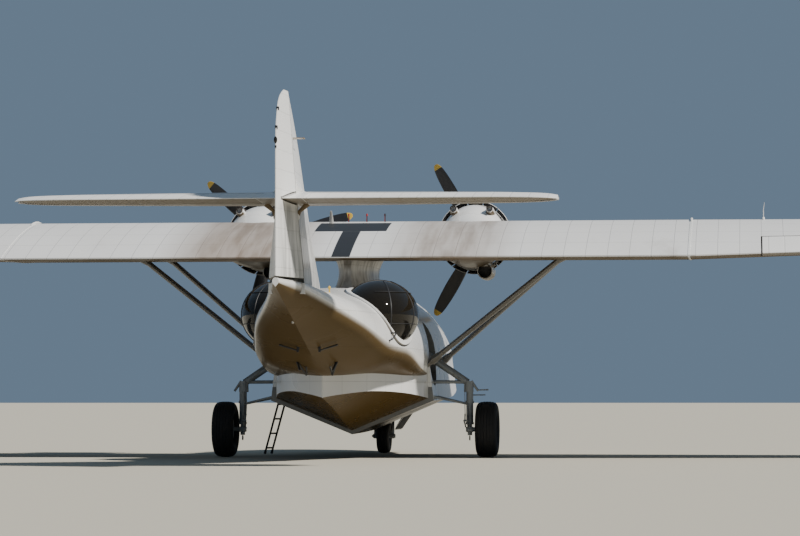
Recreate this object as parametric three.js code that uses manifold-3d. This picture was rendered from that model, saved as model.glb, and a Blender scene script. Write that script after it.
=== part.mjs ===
// A twin-engined amphibian flying boat with a wing on a pylon, parked on its three wheels.
// Millimetres: X points to starboard, Y to the nose and Z up. The origin lies on the ground,
// under the middle of the box around the whole aircraft.
import * as THREE from 'three';
import { mergeVertices } from 'three/addons/utils/BufferGeometryUtils.js';
import Module from 'manifold-3d';

const wasm = await Module();
wasm.setup();

// Driving dimensions
const seat = 0.3; // gap left between pieces that touch
const noseY = 9735;
const tailY = -9735;
const finTopZ = 6430;

const wing = {
  chord: 4570,
  incidence: THREE.MathUtils.degToRad(6),
  trailingY: -1320,
  trailingZ: 3893,
  thickness: 0.17,
  camber: 0.03,
  centreHalfSpan: 6700,
  outerHalfSpan: 14900,
  tipChord: 3000,
  dihedral: Math.tan(THREE.MathUtils.degToRad(1.2)),
  straightFraction: 0.35, // the part of the chord that stays in line as the outer wing tapers
};
// A hinge gap lies between a hinged surface's round nose and the piece ahead of it.
const aileron = {
  inner: 8100, outer: 14450, hinge: 0.76, hingeGap: 10, endGap: 30, pinRadius: 16, pinGap: 1.7, edgeHalf: 7,
};

const tailplane = {
  rootLeadingY: -7250,
  trailingY: -9370,
  hingeY: -8560,
  chordZ: 4530,
  rise: 0.035, // how much the leading edge stands above the trailing edge, over the chord
  thickness: 0.115,
  camber: 0.012,
  fixedHalfWidth: 395, // the fixed middle, between the elevators
};
const elevator = { hingeZ: 4577, hingeGap: 17, endGap: 12, pinRadius: 20, edgeHalf: 6 };
const rudder = { hingeY: -8500, bottomZ: 3215, hingeGap: 17, notchGap: 27, notchBackY: -9455, edgeHalf: 8 };
const rudderPin = { radius: 12, bottomZ: 3180.5 };

const nacelle = { x: 2210, z: 4500, cowlRadius: 690, cowlFrontY: 4020, cowlBackY: 3500, frontY: 3400 };
const propeller = { y: 4265, radius: 1830, blades: 3 };

const mainWheel = { x: 2640, y: 1130, radius: 555, width: 430, rimRadius: 254, axle: 45, segments: 28 };
const noseWheel = { x: 0, y: 6080, radius: 365, width: 280, rimRadius: 165, axle: 42, segments: 24 };
const mainLeg = { x: 2280, radius: 80, topZ: 1500 };
const wheelWell = { z: 2060, radius: 630, backX: 1120 };
const noseWell = { halfWidth: 540, backY: 5520, frontY: 6760, topZ: 1500 };
const steering = { y: 6130, crownZ: 860, topZ: 905 };

const skin = 60; // thickness of the hull's wall where the hull is hollow
const bulkheads = [noseY + 100, 4400, -1400, -4300, tailY - 100];
const cabin = { backY: 4700, frontY: 9150, floorZ: 1950 };
const waist = { backY: -4150, frontY: -1550, floorZ: 2000 };

// Finishes
function finish(name, color, roughness, metalness, opacity = 1) {
  const transparent = opacity < 1;
  return new THREE.MeshStandardMaterial({ name, color, roughness, metalness, opacity, transparent });
}

const white = finish('white paint', 0xe9e8e2, 0.45, 0.1);
const fabricWhite = finish('doped fabric', 0xeceae4, 0.6, 0);
const gearGrey = finish('grey painted steel', 0x8d9092, 0.5, 0.4);
const tyreBlack = finish('tyre rubber', 0x1b1b1c, 0.85, 0);
const rimGrey = finish('wheel alloy', 0x6f7274, 0.45, 0.7);
const tinted = finish('tinted glazing', 0x23282b, 0.1, 0, 0.5);
const clear = finish('clear glazing', 0x9fb2bb, 0.08, 0, 0.4);
const bladeBlack = finish('black blade paint', 0x202124, 0.5, 0.2);
const engineGrey = finish('engine metal', 0x4a4c4e, 0.5, 0.7);
const ladderBlack = finish('black ladder paint', 0x191a1b, 0.6, 0.2);

// Solids
function toSolid(geometry) {
  const bare = new THREE.BufferGeometry();
  bare.setAttribute('position', geometry.getAttribute('position').clone());
  bare.setIndex(geometry.index ? geometry.index.clone() : null);
  const merged = mergeVertices(bare, 1e-2);
  const position = merged.getAttribute('position');
  const faces = [];
  for (let i = 0; i < merged.index.count; i += 3) {
    const face = [0, 1, 2].map((k) => merged.index.getX(i + k));
    if (new Set(face).size === 3) faces.push(face);
  }
  const corner = (i) => new THREE.Vector3().fromBufferAttribute(position, i);
  const volume = faces.reduce((sum, [a, b, c]) => sum + corner(a).dot(corner(b).cross(corner(c))), 0);
  const outward = volume < 0 ? faces.map(([a, b, c]) => [a, c, b]) : faces;
  return new wasm.Manifold(new wasm.Mesh({
    numProp: 3,
    vertProperties: new Float32Array(position.array),
    triVerts: new Uint32Array(outward.flat()),
  }));
}

function toGeometry(solid) {
  const mesh = solid.getMesh();
  const geometry = new THREE.BufferGeometry();
  geometry.setAttribute('position', new THREE.BufferAttribute(new Float32Array(mesh.vertProperties), 3));
  geometry.setIndex(new THREE.BufferAttribute(new Uint32Array(mesh.triVerts), 1));
  geometry.computeVertexNormals();
  return geometry;
}

const join = (...solids) => solids.reduce((whole, next) => whole.add(next));
const cut = (solid, ...tools) => tools.reduce((rest, tool) => rest.subtract(tool), solid);

// Skins a row of closed rings, which all have the same number of points, and caps both ends.
function loft(rings) {
  const count = rings[0].length;
  const centres = [rings[0], rings.at(-1)].map((ring) => ring
    .reduce((sum, point) => sum.add(point), new THREE.Vector3()).divideScalar(count));
  const points = [...rings.flat(), ...centres];
  const last = (rings.length - 1) * count;
  const index = [];
  for (let j = 0; j < count; j += 1) {
    const next = (j + 1) % count;
    for (let base = 0; base < last; base += count) {
      index.push(base + j, base + next, base + count + next);
      index.push(base + j, base + count + next, base + count + j);
    }
    index.push(points.length - 2, next, j, points.length - 1, last + j, last + next);
  }
  const geometry = new THREE.BufferGeometry();
  geometry.setAttribute('position', new THREE.Float32BufferAttribute(points.flatMap((p) => [...p]), 3));
  geometry.setIndex(index);
  return toSolid(geometry);
}

function box([x0, x1], [y0, y1], [z0, z1]) {
  const geometry = new THREE.BoxGeometry(x1 - x0, y1 - y0, z1 - z0);
  return toSolid(geometry.translate((x0 + x1) / 2, (y0 + y1) / 2, (z0 + z1) / 2));
}

// A round bar between two points, which may taper.
function bar(from, to, radius, endRadius = radius, sides = 10) {
  const start = new THREE.Vector3(...from);
  const run = new THREE.Vector3(...to).sub(start);
  const geometry = new THREE.CylinderGeometry(endRadius, radius, run.length(), sides);
  geometry.translate(0, run.length() / 2, 0);
  geometry.applyQuaternion(new THREE.Quaternion()
    .setFromUnitVectors(new THREE.Vector3(0, 1, 0), run.normalize()));
  return toSolid(geometry.translate(...start));
}

// A turned solid about the Y axis from [radius, height] points.
function turned(profile, segments) {
  const points = profile.map(([radius, height]) => new THREE.Vector2(radius, height));
  return new THREE.LatheGeometry(points, segments);
}

// A smooth curve through the rows of a table, read at any value of its first column.
function rowAt(table, value) {
  let i = table.findIndex((row) => (row[0] - value) * (table[0][0] - value) <= 0);
  i = Math.min(Math.max(i, 1), table.length - 1);
  const [before, from, to, after] = [table[Math.max(i - 2, 0)], table[i - 1], table[i],
    table[Math.min(i + 1, table.length - 1)]];
  const run = to[0] - from[0];
  const t = (value - from[0]) / run;
  return from.map((start, k) => {
    const slopeIn = ((to[k] - before[k]) / (to[0] - before[0])) * run;
    const slopeOut = ((after[k] - from[k]) / (after[0] - from[0])) * run;
    return start * (2 * t ** 3 - 3 * t ** 2 + 1) + slopeIn * (t ** 3 - 2 * t ** 2 + t)
      + to[k] * (3 * t ** 2 - 2 * t ** 3) + slopeOut * (t ** 3 - t ** 2);
  });
}

// Hull
// Columns: y, keel z, chine half-width, chine z, side half-width, side z, deck z, roundness, and how
// far the chine is rounded, from 0 for a sharp one.
const foreBody = [
  [9735, 2160, 60, 2250, 70, 2300, 2420, 1, 0],
  [9600, 1740, 330, 2120, 340, 2260, 2640, 1, 0],
  [9250, 1400, 690, 1950, 680, 2200, 2790, 0.9, 0],
  [8600, 1080, 1040, 1760, 1010, 2150, 2870, 0.85, 0],
  [7800, 860, 1290, 1600, 1230, 2080, 2930, 0.85, 0],
  [6850, 690, 1470, 1450, 1400, 2000, 3000, 0.9, 0],
  [6100, 605, 1560, 1350, 1480, 1950, 3470, 1.15, 0],
  [5000, 545, 1610, 1250, 1530, 1900, 3440, 1.05, 0],
  [4300, 515, 1620, 1210, 1545, 1900, 3300, 0.85, 0],
  [2500, 480, 1625, 1160, 1545, 1900, 3280, 0.85, 0],
  [520, 460, 1625, 1130, 1540, 1900, 3280, 0.85, 0],
];
const aftBody = [
  [700, 1440, 1500, 1600, 1540, 1900, 3280, 0.85, 0.2],
  [-1000, 1480, 1510, 1640, 1545, 2000, 3280, 0.85, 0.5],
  [-2500, 1530, 1420, 1740, 1465, 2100, 3260, 0.85, 1],
  [-3900, 1590, 1200, 1850, 1260, 2200, 3120, 0.9, 1],
  [-5500, 1985, 960, 2240, 1000, 2500, 3110, 0.95, 1],
  [-7000, 2360, 570, 2620, 600, 2820, 3130, 0.9, 1],
  [-8500, 2730, 250, 2920, 270, 3060, 3180, 0.6, 1],
  [-9735, 3030, 50, 3090, 55, 3120, 3185, 1, 0.5],
];
// Columns: y, half-width, bottom keel z, bottom edge z; its top is hidden inside the hull.
const stepWedge = [
  [600, 1535, 525, 1175],
  [-1000, 1240, 760, 1275],
  [-2500, 760, 1000, 1310],
  [-3500, 250, 1130, 1240],
  [-3880, 12, 1180, 1190],
];
const wedgeTopZ = 1900;

// Half a hull section from keel to deck, mirrored into a ring; grow moves it outwards.
function hullRing(row, y, grow) {
  const [, keelZ, chineHalf, chineZ, sideHalf, sideZ, deckZ, roundness, rounding] = row;
  const [keel, chine, side] = [[0, keelZ - grow], [chineHalf + grow, chineZ - grow / 2],
    [sideHalf + grow, sideZ]].map((point) => new THREE.Vector2(...point));
  const [start, end] = [chine.clone().lerp(keel, 0.55 * rounding), chine.clone().lerp(side, 0.9 * rounding)];
  const bend = new THREE.QuadraticBezierCurve(start, chine, end);
  const half = [...bend.getPoints(2), side].map((point) => [...point]);
  const arcSteps = 5;
  for (let i = 1; i < arcSteps; i += 1) {
    const angle = (i / arcSteps) * (Math.PI / 2);
    half.push([
      (sideHalf + grow) * Math.cos(angle) ** roundness,
      sideZ + (deckZ + grow - sideZ) * Math.sin(angle) ** roundness,
    ]);
  }
  const ring = [[0, keelZ - grow], ...half, [0, deckZ + grow],
    ...half.map(([x, z]) => [-x, z]).reverse()];
  return ring.map(([x, z]) => new THREE.Vector3(x, y, z));
}

function hullLoft(table, stations, grow) {
  const lastIndex = stations.length - 1;
  return loft(stations.map((y, i) => {
    const end = (i === 0 ? grow : 0) - (i === lastIndex ? grow : 0);
    return hullRing(rowAt(table, y), y + end, grow);
  }));
}

const foreStations = [9735, 9600, 9430, 9150, 8600, 7800, 6850, 6480, 6100, 5000, 4300, 2500, 520];
const aftStations = [700, -1000, -2500, -3900, -4700, -5500, -6300, -7000, -7800, -8500, -9735];

function wedgeLoft(grow) {
  return loft(stepWedge.map(([y, half, keelZ, edgeZ]) => [
    [0, keelZ - grow], [half + grow, edgeZ - grow], [half + grow, wedgeTopZ],
    [-half - grow, wedgeTopZ], [-half - grow, edgeZ - grow],
  ].map(([x, z]) => new THREE.Vector3(x, y < -3600 ? y - grow : y, z))));
}

const hullSolid = (grow = 0) => join(
  hullLoft(foreBody, foreStations, grow),
  hullLoft(aftBody, aftStations, grow),
  wedgeLoft(grow),
);

const hull = hullSolid();
const hullSeat = hullSolid(seat);
const wide = [-3000, 3000];
const tall = [-100, 7000];

function slab(y0, y1) {
  return box(wide, [Math.min(y0, y1) + seat / 2, Math.max(y0, y1) - seat / 2], tall);
}

// Cockpit windows and the bow window, as slots right through the wall.
// Columns: x range, y range, z range.
const windowSlots = [
  [[-330, 330], [6330, 6700], [3080, 3330]],
  [[410, 900], [6300, 6660], [2920, 3230]],
  [[-900, -410], [6300, 6660], [2920, 3230]],
  [[700, 1600], [5720, 6200], [2600, 3060]],
  [[-1600, -700], [5720, 6200], [2600, 3060]],
  [[780, 1600], [5080, 5620], [2600, 3020]],
  [[-1600, -780], [5080, 5620], [2600, 3020]],
  [[90, 520], [5200, 6000], [3200, 3600]],
  [[-520, -90], [5200, 6000], [3200, 3600]],
  [[-230, 230], [9250, 9900], [2060, 2330]],
];

const turret = { y: 8250, radius: 430, ringZ: 2860, domeZ: 3230 };
const turretHole = () => bar([0, turret.y, 2500], [0, turret.y, 3200], turret.radius - 60, turret.radius - 60, 20);

function makeHullBow() {
  const cavity = hullLoft(foreBody, foreStations, -skin)
    .intersect(box(wide, [cabin.backY, cabin.frontY], [cabin.floorZ, 4000]));
  const well = box([-noseWell.halfWidth, noseWell.halfWidth], [noseWell.backY, noseWell.frontY],
    [0, noseWell.topZ]);
  return cut(hull.intersect(slab(bulkheads[0], bulkheads[1])), cavity, well, turretHole(),
    ...windowSlots.map((ranges) => box(...ranges)));
}

function makeHullCentre() {
  const wells = [-1, 1].map((side) => bar(
    [side * wheelWell.backX, mainWheel.y, wheelWell.z],
    [side * 1800, mainWheel.y, wheelWell.z],
    wheelWell.radius,
    wheelWell.radius,
    24,
  ));
  return cut(hull.intersect(slab(bulkheads[1], bulkheads[2])), ...wells);
}

// Blisters
const blister = { x: 930, y: -2800, z: 2740, halfX: 740, halfY: 1180, halfZ: 660, wall: 25 };

function egg(side, shrink) {
  const geometry = new THREE.SphereGeometry(1, 18, 10).rotateX(Math.PI / 2);
  geometry.scale(blister.halfX - shrink, blister.halfY - shrink, blister.halfZ - shrink);
  return toSolid(geometry.translate(side * blister.x, blister.y, blister.z));
}

function makeHullWaist() {
  const cavity = hullLoft(aftBody, aftStations, -skin)
    .intersect(box(wide, [waist.backY, waist.frontY], [waist.floorZ, 3100]));
  const holes = [-1, 1].map((side) => egg(side, blister.wall + 60));
  return cut(hull.intersect(slab(bulkheads[2], bulkheads[3])), cavity, ...holes);
}

function makeBlister(side) {
  const outside = side > 0 ? [500, 3000] : [-3000, -500];
  return cut(egg(side, 0).intersect(box(outside, [-5000, 0], tall)), egg(side, blister.wall), hullSeat);
}

// Wing
// Half a four-digit section: distance aft of the nose and offsets from the chord line, over the chord.
function sectionPoint(fraction, thickness, camber, upper) {
  const spread = (thickness / 0.2) * (0.2969 * Math.sqrt(fraction) - 0.126 * fraction
    - 0.3516 * fraction ** 2 + 0.2843 * fraction ** 3 - 0.1005 * fraction ** 4);
  const crest = 0.3;
  const line = fraction < crest
    ? (camber / crest ** 2) * (2 * crest * fraction - fraction ** 2)
    : (camber / (1 - crest) ** 2) * (1 - 2 * crest + 2 * crest * fraction - fraction ** 2);
  return line + (upper ? spread : -spread);
}

const sectionStations = [0, 0.012, 0.05, 0.12, 0.22, 0.35, 0.5, 0.66, 0.8, 1];

// The wing at a distance from the middle: its chord and the leading edge of its chord line.
function wingAt(x) {
  const out = Math.max(Math.abs(x) - wing.centreHalfSpan, 0);
  const taper = out / (wing.outerHalfSpan - wing.centreHalfSpan);
  const chord = wing.chord + (wing.tipChord - wing.chord) * taper;
  const aft = (1 - wing.straightFraction) * (wing.chord - chord);
  const trailing = new THREE.Vector2(
    wing.trailingY + aft * Math.cos(wing.incidence),
    wing.trailingZ + aft * Math.sin(wing.incidence) + out * wing.dihedral,
  );
  return { chord, trailing };
}

// A point of the wing's section at x: a fraction of the chord aft, and an offset over the chord.
function wingPoint(x, fraction, offset) {
  const { chord, trailing } = wingAt(x);
  const [sin, cos] = [Math.sin(wing.incidence), Math.cos(wing.incidence)];
  const along = (1 - fraction) * chord;
  return new THREE.Vector3(
    x,
    trailing.x + along * cos - offset * chord * sin,
    trailing.y + along * sin + offset * chord * cos,
  );
}

function wingRing(x, grow = 0) {
  const more = grow / wingAt(x).chord;
  const upper = sectionStations.map((f) => wingPoint(x, f === 0 ? -more : f,
    sectionPoint(f, wing.thickness, wing.camber, true) + (f === 0 ? 0 : more)));
  const lower = sectionStations.slice(1).map((f) => wingPoint(x, f,
    sectionPoint(f, wing.thickness, wing.camber, false) - more)).reverse();
  return [...upper, ...lower];
}

const makeWingCentre = (grow = 0) => loft([-wing.centreHalfSpan, wing.centreHalfSpan]
  .map((x) => wingRing(x, grow)));
const wingCentreSeat = makeWingCentre(seat);

// A hinged surface: a half-round nose about the hinge and flat flanks to a blunt trailing edge.
// Flat points are [aft of the hinge, off the hinge's plane].
function hingedProfile(noseRadius, chord, edgeHalf) {
  const steps = 8;
  const nose = Array.from({ length: steps + 1 }, (_, i) => {
    const angle = Math.PI / 2 + (i / steps) * Math.PI;
    return [noseRadius * Math.cos(angle), noseRadius * Math.sin(angle)];
  });
  return [...nose, [chord, -edgeHalf], [chord, edgeHalf]];
}

// The space that a hinged surface needs in what it hangs from: its nose, and all that is aft of it.
function hingedSpace(noseRadius, chord, reach) {
  const grown = hingedProfile(noseRadius, chord, 0).slice(0, -2);
  return [...grown, [0, -reach], [chord, -reach], [chord, reach], [0, reach]];
}

// Stands a flat shape about a hinge, with its length towards the trailing edge. The shape is a
// function of the nose radius and of the length.
function hingeRing(hinge, edge, half, shape) {
  const back = edge.clone().sub(hinge);
  const length = back.length();
  back.normalize();
  const up = new THREE.Vector3(0, back.z, -back.y);
  return shape(half, length).map(([aft, off]) => hinge.clone()
    .addScaledVector(back, aft).addScaledVector(up, off));
}

const aileronOffsets = [true, false]
  .map((upper) => sectionPoint(aileron.hinge, wing.thickness, wing.camber, upper));

function aileronHinge(x) {
  return wingPoint(x, aileron.hinge, (aileronOffsets[0] + aileronOffsets[1]) / 2);
}

function aileronRing(x, shape) {
  const half = (wingAt(x).chord * (aileronOffsets[0] - aileronOffsets[1])) / 2;
  return hingeRing(aileronHinge(x), wingPoint(x, 1, 0), half, shape);
}

// The pin runs right through the aileron and reaches the wing at both of its ends.
function makeAileron(side) {
  const blade = loft([aileron.inner, aileron.outer].map((x) => aileronRing(side * x,
    (half, length) => hingedProfile(half, length, aileron.edgeHalf))));
  const reach = aileron.endGap - aileron.pinGap;
  const [from, to] = [aileron.inner - reach, aileron.outer + reach]
    .map((x) => [...aileronHinge(side * x)]);
  return join(blade, bar(from, to, aileron.pinRadius, aileron.pinRadius, 8));
}

function makeWingOuter(side) {
  const panel = loft([wing.centreHalfSpan + seat, wing.outerHalfSpan]
    .map((x) => wingRing(side * x)));
  const space = loft([aileron.inner - aileron.endGap, aileron.outer + aileron.endGap]
    .map((x) => aileronRing(side * x, (half, length) => hingedSpace(half + aileron.hingeGap, length + 200, 500))));
  return cut(panel, space);
}

// Floats, folded up so that each makes its wing's rounded tip.
// Columns: x, chord over the tip chord, shift of the middle forward, thickness over the wing's.
const floatSections = [
  [wing.outerHalfSpan + seat, 1.1, 60, 1],
  [15150, 1.07, 60, 1.1],
  [15450, 0.96, 60, 0.95],
  [15700, 0.74, 60, 0.62],
  [15850, 0.42, 60, 0.2],
];

function makeFloat(side) {
  return loft(floatSections.map(([x, share, forward, depth]) => {
    const { chord, trailing } = wingAt(side * wing.outerHalfSpan);
    const rise = (x - wing.outerHalfSpan) * wing.dihedral;
    const ring = wingRing(side * wing.outerHalfSpan);
    const middle = new THREE.Vector3(0, trailing.x + chord / 2, trailing.y + 190);
    return ring.map((point) => new THREE.Vector3(
      side * x,
      middle.y + forward + (point.y - middle.y) * share,
      middle.z + rise + (point.z - middle.z) * depth,
    ));
  }));
}

// Fin and rudder
// Columns: z, leading edge y, half-thickness at the rudder's hinge.
const finSections = [
  [2950, -4200, 420],
  [3150, -4330, 350],
  [3350, -4560, 300],
  [3550, -4850, 272],
  [3950, -5380, 232],
  [4400, -5880, 190],
  [4870, -6400, 150],
  [5570, -7160, 92],
  [6130, -7920, 52],
  [6330, -8280, 38],
  [6430, -8440, 22],
];

function finRing([z, leadingY, half], grow = 0) {
  const chord = leadingY - rudder.hingeY;
  // Columns: aft of the leading edge over the chord, half-thickness over that at the hinge.
  const starboard = [[0.03, 0.12], [0.12, 0.26], [0.28, 0.47], [0.6, 0.75], [1, 1]].map(([aft, share]) => [
    leadingY - aft * chord, half * share + grow]);
  const ring = [[leadingY + grow, 0], ...starboard,
    ...starboard.map(([y, x]) => [y, -x]).reverse()];
  return ring.map(([y, x]) => new THREE.Vector3(x, y, z));
}

// Columns: z, trailing edge y.
const rudderEdge = [
  [rudder.bottomZ, tailY],
  [4000, tailY],
  [4700, tailY],
  [5300, tailY],
  [5700, -9690],
  [6070, -9510],
  [6190, -9390],
  [6310, -9170],
  [finTopZ - 20, -8830],
];

function rudderHalf(z) {
  const row = rowAt(finSections, Math.min(Math.max(z, finSections[0][0]), finSections.at(-1)[0]));
  return row[2];
}

const upright = (z) => ([aft, off]) => new THREE.Vector3(off, rudder.hingeY - aft, z);

// The rudder is notched round the fixed middle of the tailplane.
function makeRudder() {
  const blade = loft(rudderEdge.map(([z, edgeY]) => hingedProfile(rudderHalf(z), rudder.hingeY - edgeY,
    rudder.edgeHalf).map(upright(z))));
  const { rootLeadingY, trailingY, chordZ } = tailplane;
  const notch = loft([-600, 600].map((x) => tailRing(x, rootLeadingY, trailingY, rudder.notchGap)));
  const behind = box([-600, 600], [rudder.notchBackY, trailingY + 10],
    [chordZ - rudder.notchGap, chordZ + rudder.notchGap]);
  const pin = bar([0, rudder.hingeY, rudderPin.bottomZ], [0, rudder.hingeY, rudder.bottomZ + 60],
    rudderPin.radius);
  return join(cut(blade, notch, behind), pin);
}

function rudderSpace() {
  const levels = [rudder.bottomZ - 80, 3950, 4400, 4870, 5570, 6130, 6330, 6600];
  return loft(levels.map((z) => hingedSpace(rudderHalf(z) + rudder.hingeGap, 1600, 700).map(upright(z))));
}

// Tailplane and elevators
function tailOffset(fraction, upper) {
  return (1 - fraction) * tailplane.rise
    + sectionPoint(fraction, tailplane.thickness, tailplane.camber, upper);
}

function tailRing(x, leadingY, trailingY, grow = 0) {
  const chord = leadingY - trailingY;
  const more = grow / chord;
  const place = (f, offset) => new THREE.Vector3(x, leadingY - f * chord,
    tailplane.chordZ + offset * chord);
  const upper = sectionStations.map((f) => place(f === 0 ? -more : f,
    tailOffset(f, true) + (f === 0 ? 0 : more)));
  const lower = sectionStations.slice(1).map((f) => place(f, tailOffset(f, false) - more)).reverse();
  return [...upper, ...lower];
}

// Columns: x, leading edge y, trailing edge y.
const tailSections = [
  [0, tailplane.rootLeadingY, tailplane.trailingY],
  [3500, -7700, -9350],
  [4150, -7860, -9260],
  [4480, -8080, -9100],
  [4650, -8400, -8850],
];

const straightRow = (x) => {
  const i = Math.max(tailSections.findIndex((row) => row[0] >= x), 1);
  const [from, to] = [tailSections[i - 1], tailSections[i]];
  return from.map((value, k) => THREE.MathUtils.lerp(value, to[k], (x - from[0]) / (to[0] - from[0])));
};

function elevatorRing(x, side, shape) {
  const [, leadingY, trailingY] = straightRow(x);
  const chord = leadingY - trailingY;
  const fraction = (leadingY - tailplane.hingeY) / chord;
  const half = (chord * (tailOffset(fraction, true) - tailOffset(fraction, false))) / 2;
  const hinge = new THREE.Vector3(side * x, tailplane.hingeY, elevator.hingeZ);
  return hingeRing(hinge, new THREE.Vector3(side * x, trailingY, tailplane.chordZ), half, shape);
}

const elevatorOutline = (innerX, outerX) => [innerX, ...tailSections.slice(1, -1).map(([x]) => x), outerX];
const tailTipX = tailSections.at(-1)[0];

function makeTailplane(side, finSeat) {
  const whole = loft(tailSections.map(([x, leadingY, trailingY]) => tailRing(
    side * Math.max(x, seat / 2), leadingY, trailingY)));
  const space = loft(elevatorOutline(tailplane.fixedHalfWidth - elevator.endGap, tailTipX)
    .map((x) => elevatorRing(x, side, (half, length) => hingedSpace(half + elevator.hingeGap, length + 200, 400))));
  const beyond = box([tailTipX - 1, tailTipX + 1].map((x) => side * x).sort((a, b) => a - b),
    [tailplane.trailingY, tailplane.hingeY], [4000, 5000]);
  return cut(whole, space, beyond, finSeat);
}

function makeElevator(side) {
  const blade = loft(elevatorOutline(tailplane.fixedHalfWidth, tailTipX - 10)
    .map((x) => elevatorRing(x, side, (half, length) => hingedProfile(half, length, elevator.edgeHalf))));
  const at = (x) => [side * x, tailplane.hingeY, elevator.hingeZ];
  const pin = bar(at(tailplane.fixedHalfWidth - elevator.endGap + seat), at(1000),
    elevator.pinRadius, elevator.pinRadius, 8);
  return join(blade, pin);
}

// Pylon
// Columns: z, trailing edge y, leading edge y, half-width.
const pylonSections = [
  [3050, -420, 3250, 560],
  [3300, -330, 3150, 470],
  [3500, -200, 3000, 380],
  [3700, -170, 2950, 350],
  [3900, -260, 3000, 400],
  [4150, -500, 3100, 560],
];

function makePylon() {
  const rings = pylonSections.map(([z, backY, frontY, half]) => {
    // Columns: aft of the leading edge over the length, half-width over the greatest.
    const starboard = [[0.02, 0.35], [0.1, 0.75], [0.25, 1], [0.6, 0.95], [0.85, 0.62], [1, 0.2]]
      .map(([aft, share]) => [frontY - aft * (frontY - backY), half * share]);
    return [[frontY, 0], ...starboard, ...starboard.map(([y, x]) => [y, -x]).reverse()]
      .map(([y, x]) => new THREE.Vector3(x, y, z));
  });
  return cut(loft(rings), hullSeat, wingCentreSeat);
}

// Wing struts, streamlined bars from the hull's side to the wing's spars.
// Columns: name, y, x of its upper end, z of its upper end.
const struts = [
  ['front', 2560, 4200, 4170],
  ['rear', 360, 4310, 4050],
];
const strut = { lowX: 1480, lowZ: 1812, chord: 230, depth: 105 };

function makeStrut(side, y, highX, highZ) {
  const start = new THREE.Vector3(side * strut.lowX, y, strut.lowZ);
  const run = new THREE.Vector3(side * highX, y, highZ).sub(start);
  const across = run.clone().cross(new THREE.Vector3(0, 1, 0)).normalize();
  // Columns: aft of the middle over the chord, half-depth over the greatest.
  const outline = [[-0.5, 0], [-0.4, 0.7], [-0.2, 1], [0.1, 0.9], [0.35, 0.5], [0.5, 0.08]];
  const flat = [...outline, ...outline.slice(1).map(([aft, half]) => [aft, -half]).reverse()];
  const ring = (t) => flat.map(([aft, half]) => start.clone().addScaledVector(run, t)
    .addScaledVector(across, (half * strut.depth) / 2)
    .add(new THREE.Vector3(0, -aft * strut.chord, 0)));
  return cut(loft([ring(0), ring(1)]), hullSeat, wingCentreSeat);
}

// Nacelles, engines and propellers
// Columns: y, centre z, half-width, half-height.
const nacelleSections = [
  [nacelle.frontY, 4500, 610, 610],
  [3050, 4500, 655, 655],
  [2600, 4440, 655, 600],
  [2100, 4340, 620, 500],
  [1500, 4270, 540, 420],
  [800, 4200, 400, 360],
  [100, 4120, 190, 250],
  [-350, 4050, 40, 110],
];
const exhaust = { x: 370, z: 5020, radius: 62, frontY: 3000, backY: 2380 };
const cooler = { x: 270, z: 3770, radius: 170, frontY: 3230, backY: 2480 };

function ellipseRing(x, y, z, halfWidth, halfHeight, sides) {
  return Array.from({ length: sides }, (_, i) => {
    const angle = (i / sides) * 2 * Math.PI;
    return new THREE.Vector3(x + halfWidth * Math.cos(angle), y, z + halfHeight * Math.sin(angle));
  });
}

function nacelleBody(side, grow = 0) {
  return loft(nacelleSections.map(([y, z, halfWidth, halfHeight]) => ellipseRing(
    side * nacelle.x, y, z, halfWidth + grow, halfHeight + grow, 20)));
}

function makeNacelle(side) {
  const x = side * nacelle.x;
  const pipes = [-1, 1].map((way) => bar(
    [x + way * exhaust.x, exhaust.frontY, exhaust.z - 60],
    [x + way * exhaust.x, exhaust.backY, exhaust.z],
    exhaust.radius,
  ));
  return cut(join(nacelleBody(side), ...pipes), wingCentreSeat);
}

function makeCooler(side) {
  const x = side * nacelle.x + cooler.x;
  const duct = bar([x, cooler.frontY, cooler.z], [x, cooler.backY, cooler.z], cooler.radius,
    cooler.radius * 0.92, 14);
  const mouth = bar([x, cooler.backY - 10, cooler.z], [x, cooler.backY + 260, cooler.z],
    cooler.radius * 0.78, cooler.radius * 0.78, 14);
  return cut(duct, mouth, nacelleBody(side, seat), wingCentreSeat);
}

// The cowl: a rounded lip in front and flaps that stand open behind. Points are [radius, y].
function makeCowl(side) {
  const { cowlRadius: radius, cowlFrontY: front, cowlBackY: back } = nacelle;
  const ring = turned([
    [radius - 62, back], [radius - 62, front - 160], [radius - 95, front - 50],
    [radius - 60, front], [radius - 25, front - 30], [radius - 5, front - 110], [radius, front - 240],
    [radius + 8, back], [radius + 72, back - 235], [radius + 58, back - 240], [radius - 62, back],
  ], 28);
  return toSolid(ring.translate(side * nacelle.x, 0, nacelle.z));
}

const engine = { radius: 618.6, backY: nacelle.frontY + seat, noseY: 4169.6, cylinders: 14 };

// A two-row radial engine: the case, its nose and the cylinders of both rows.
function makeEngine(side) {
  const centre = [side * nacelle.x, nacelle.z];
  const at = (y, radius, angle) => [centre[0] + radius * Math.sin(angle), y,
    centre[1] + radius * Math.cos(angle)];
  const body = toSolid(turned([
    [0, engine.backY], [430, engine.backY], [430, 3480], [330, 3500], [330, 3860], [240, 3960],
    [190, 4090], [110, engine.noseY], [0, engine.noseY],
  ], 16).translate(centre[0], 0, centre[1]));
  const cylinders = Array.from({ length: engine.cylinders }, (_, i) => {
    const y = i % 2 ? 3580 : 3780;
    const angle = (i / engine.cylinders) * 2 * Math.PI;
    return bar(at(y, 250, angle), at(y, engine.radius, angle), 86, 80, 8);
  });
  return join(body, ...cylinders);
}

// Columns: radius, chord, thickness, pitch in degrees.
const bladeSections = [
  [60, 110, 110, 60],
  [330, 150, 105, 55],
  [620, 265, 60, 42],
  [1050, 300, 36, 31],
  [1450, 265, 24, 25],
  [1720, 190, 16, 22],
  [1815, 95, 10, 21],
  [1830, 30, 6, 21],
];

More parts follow.
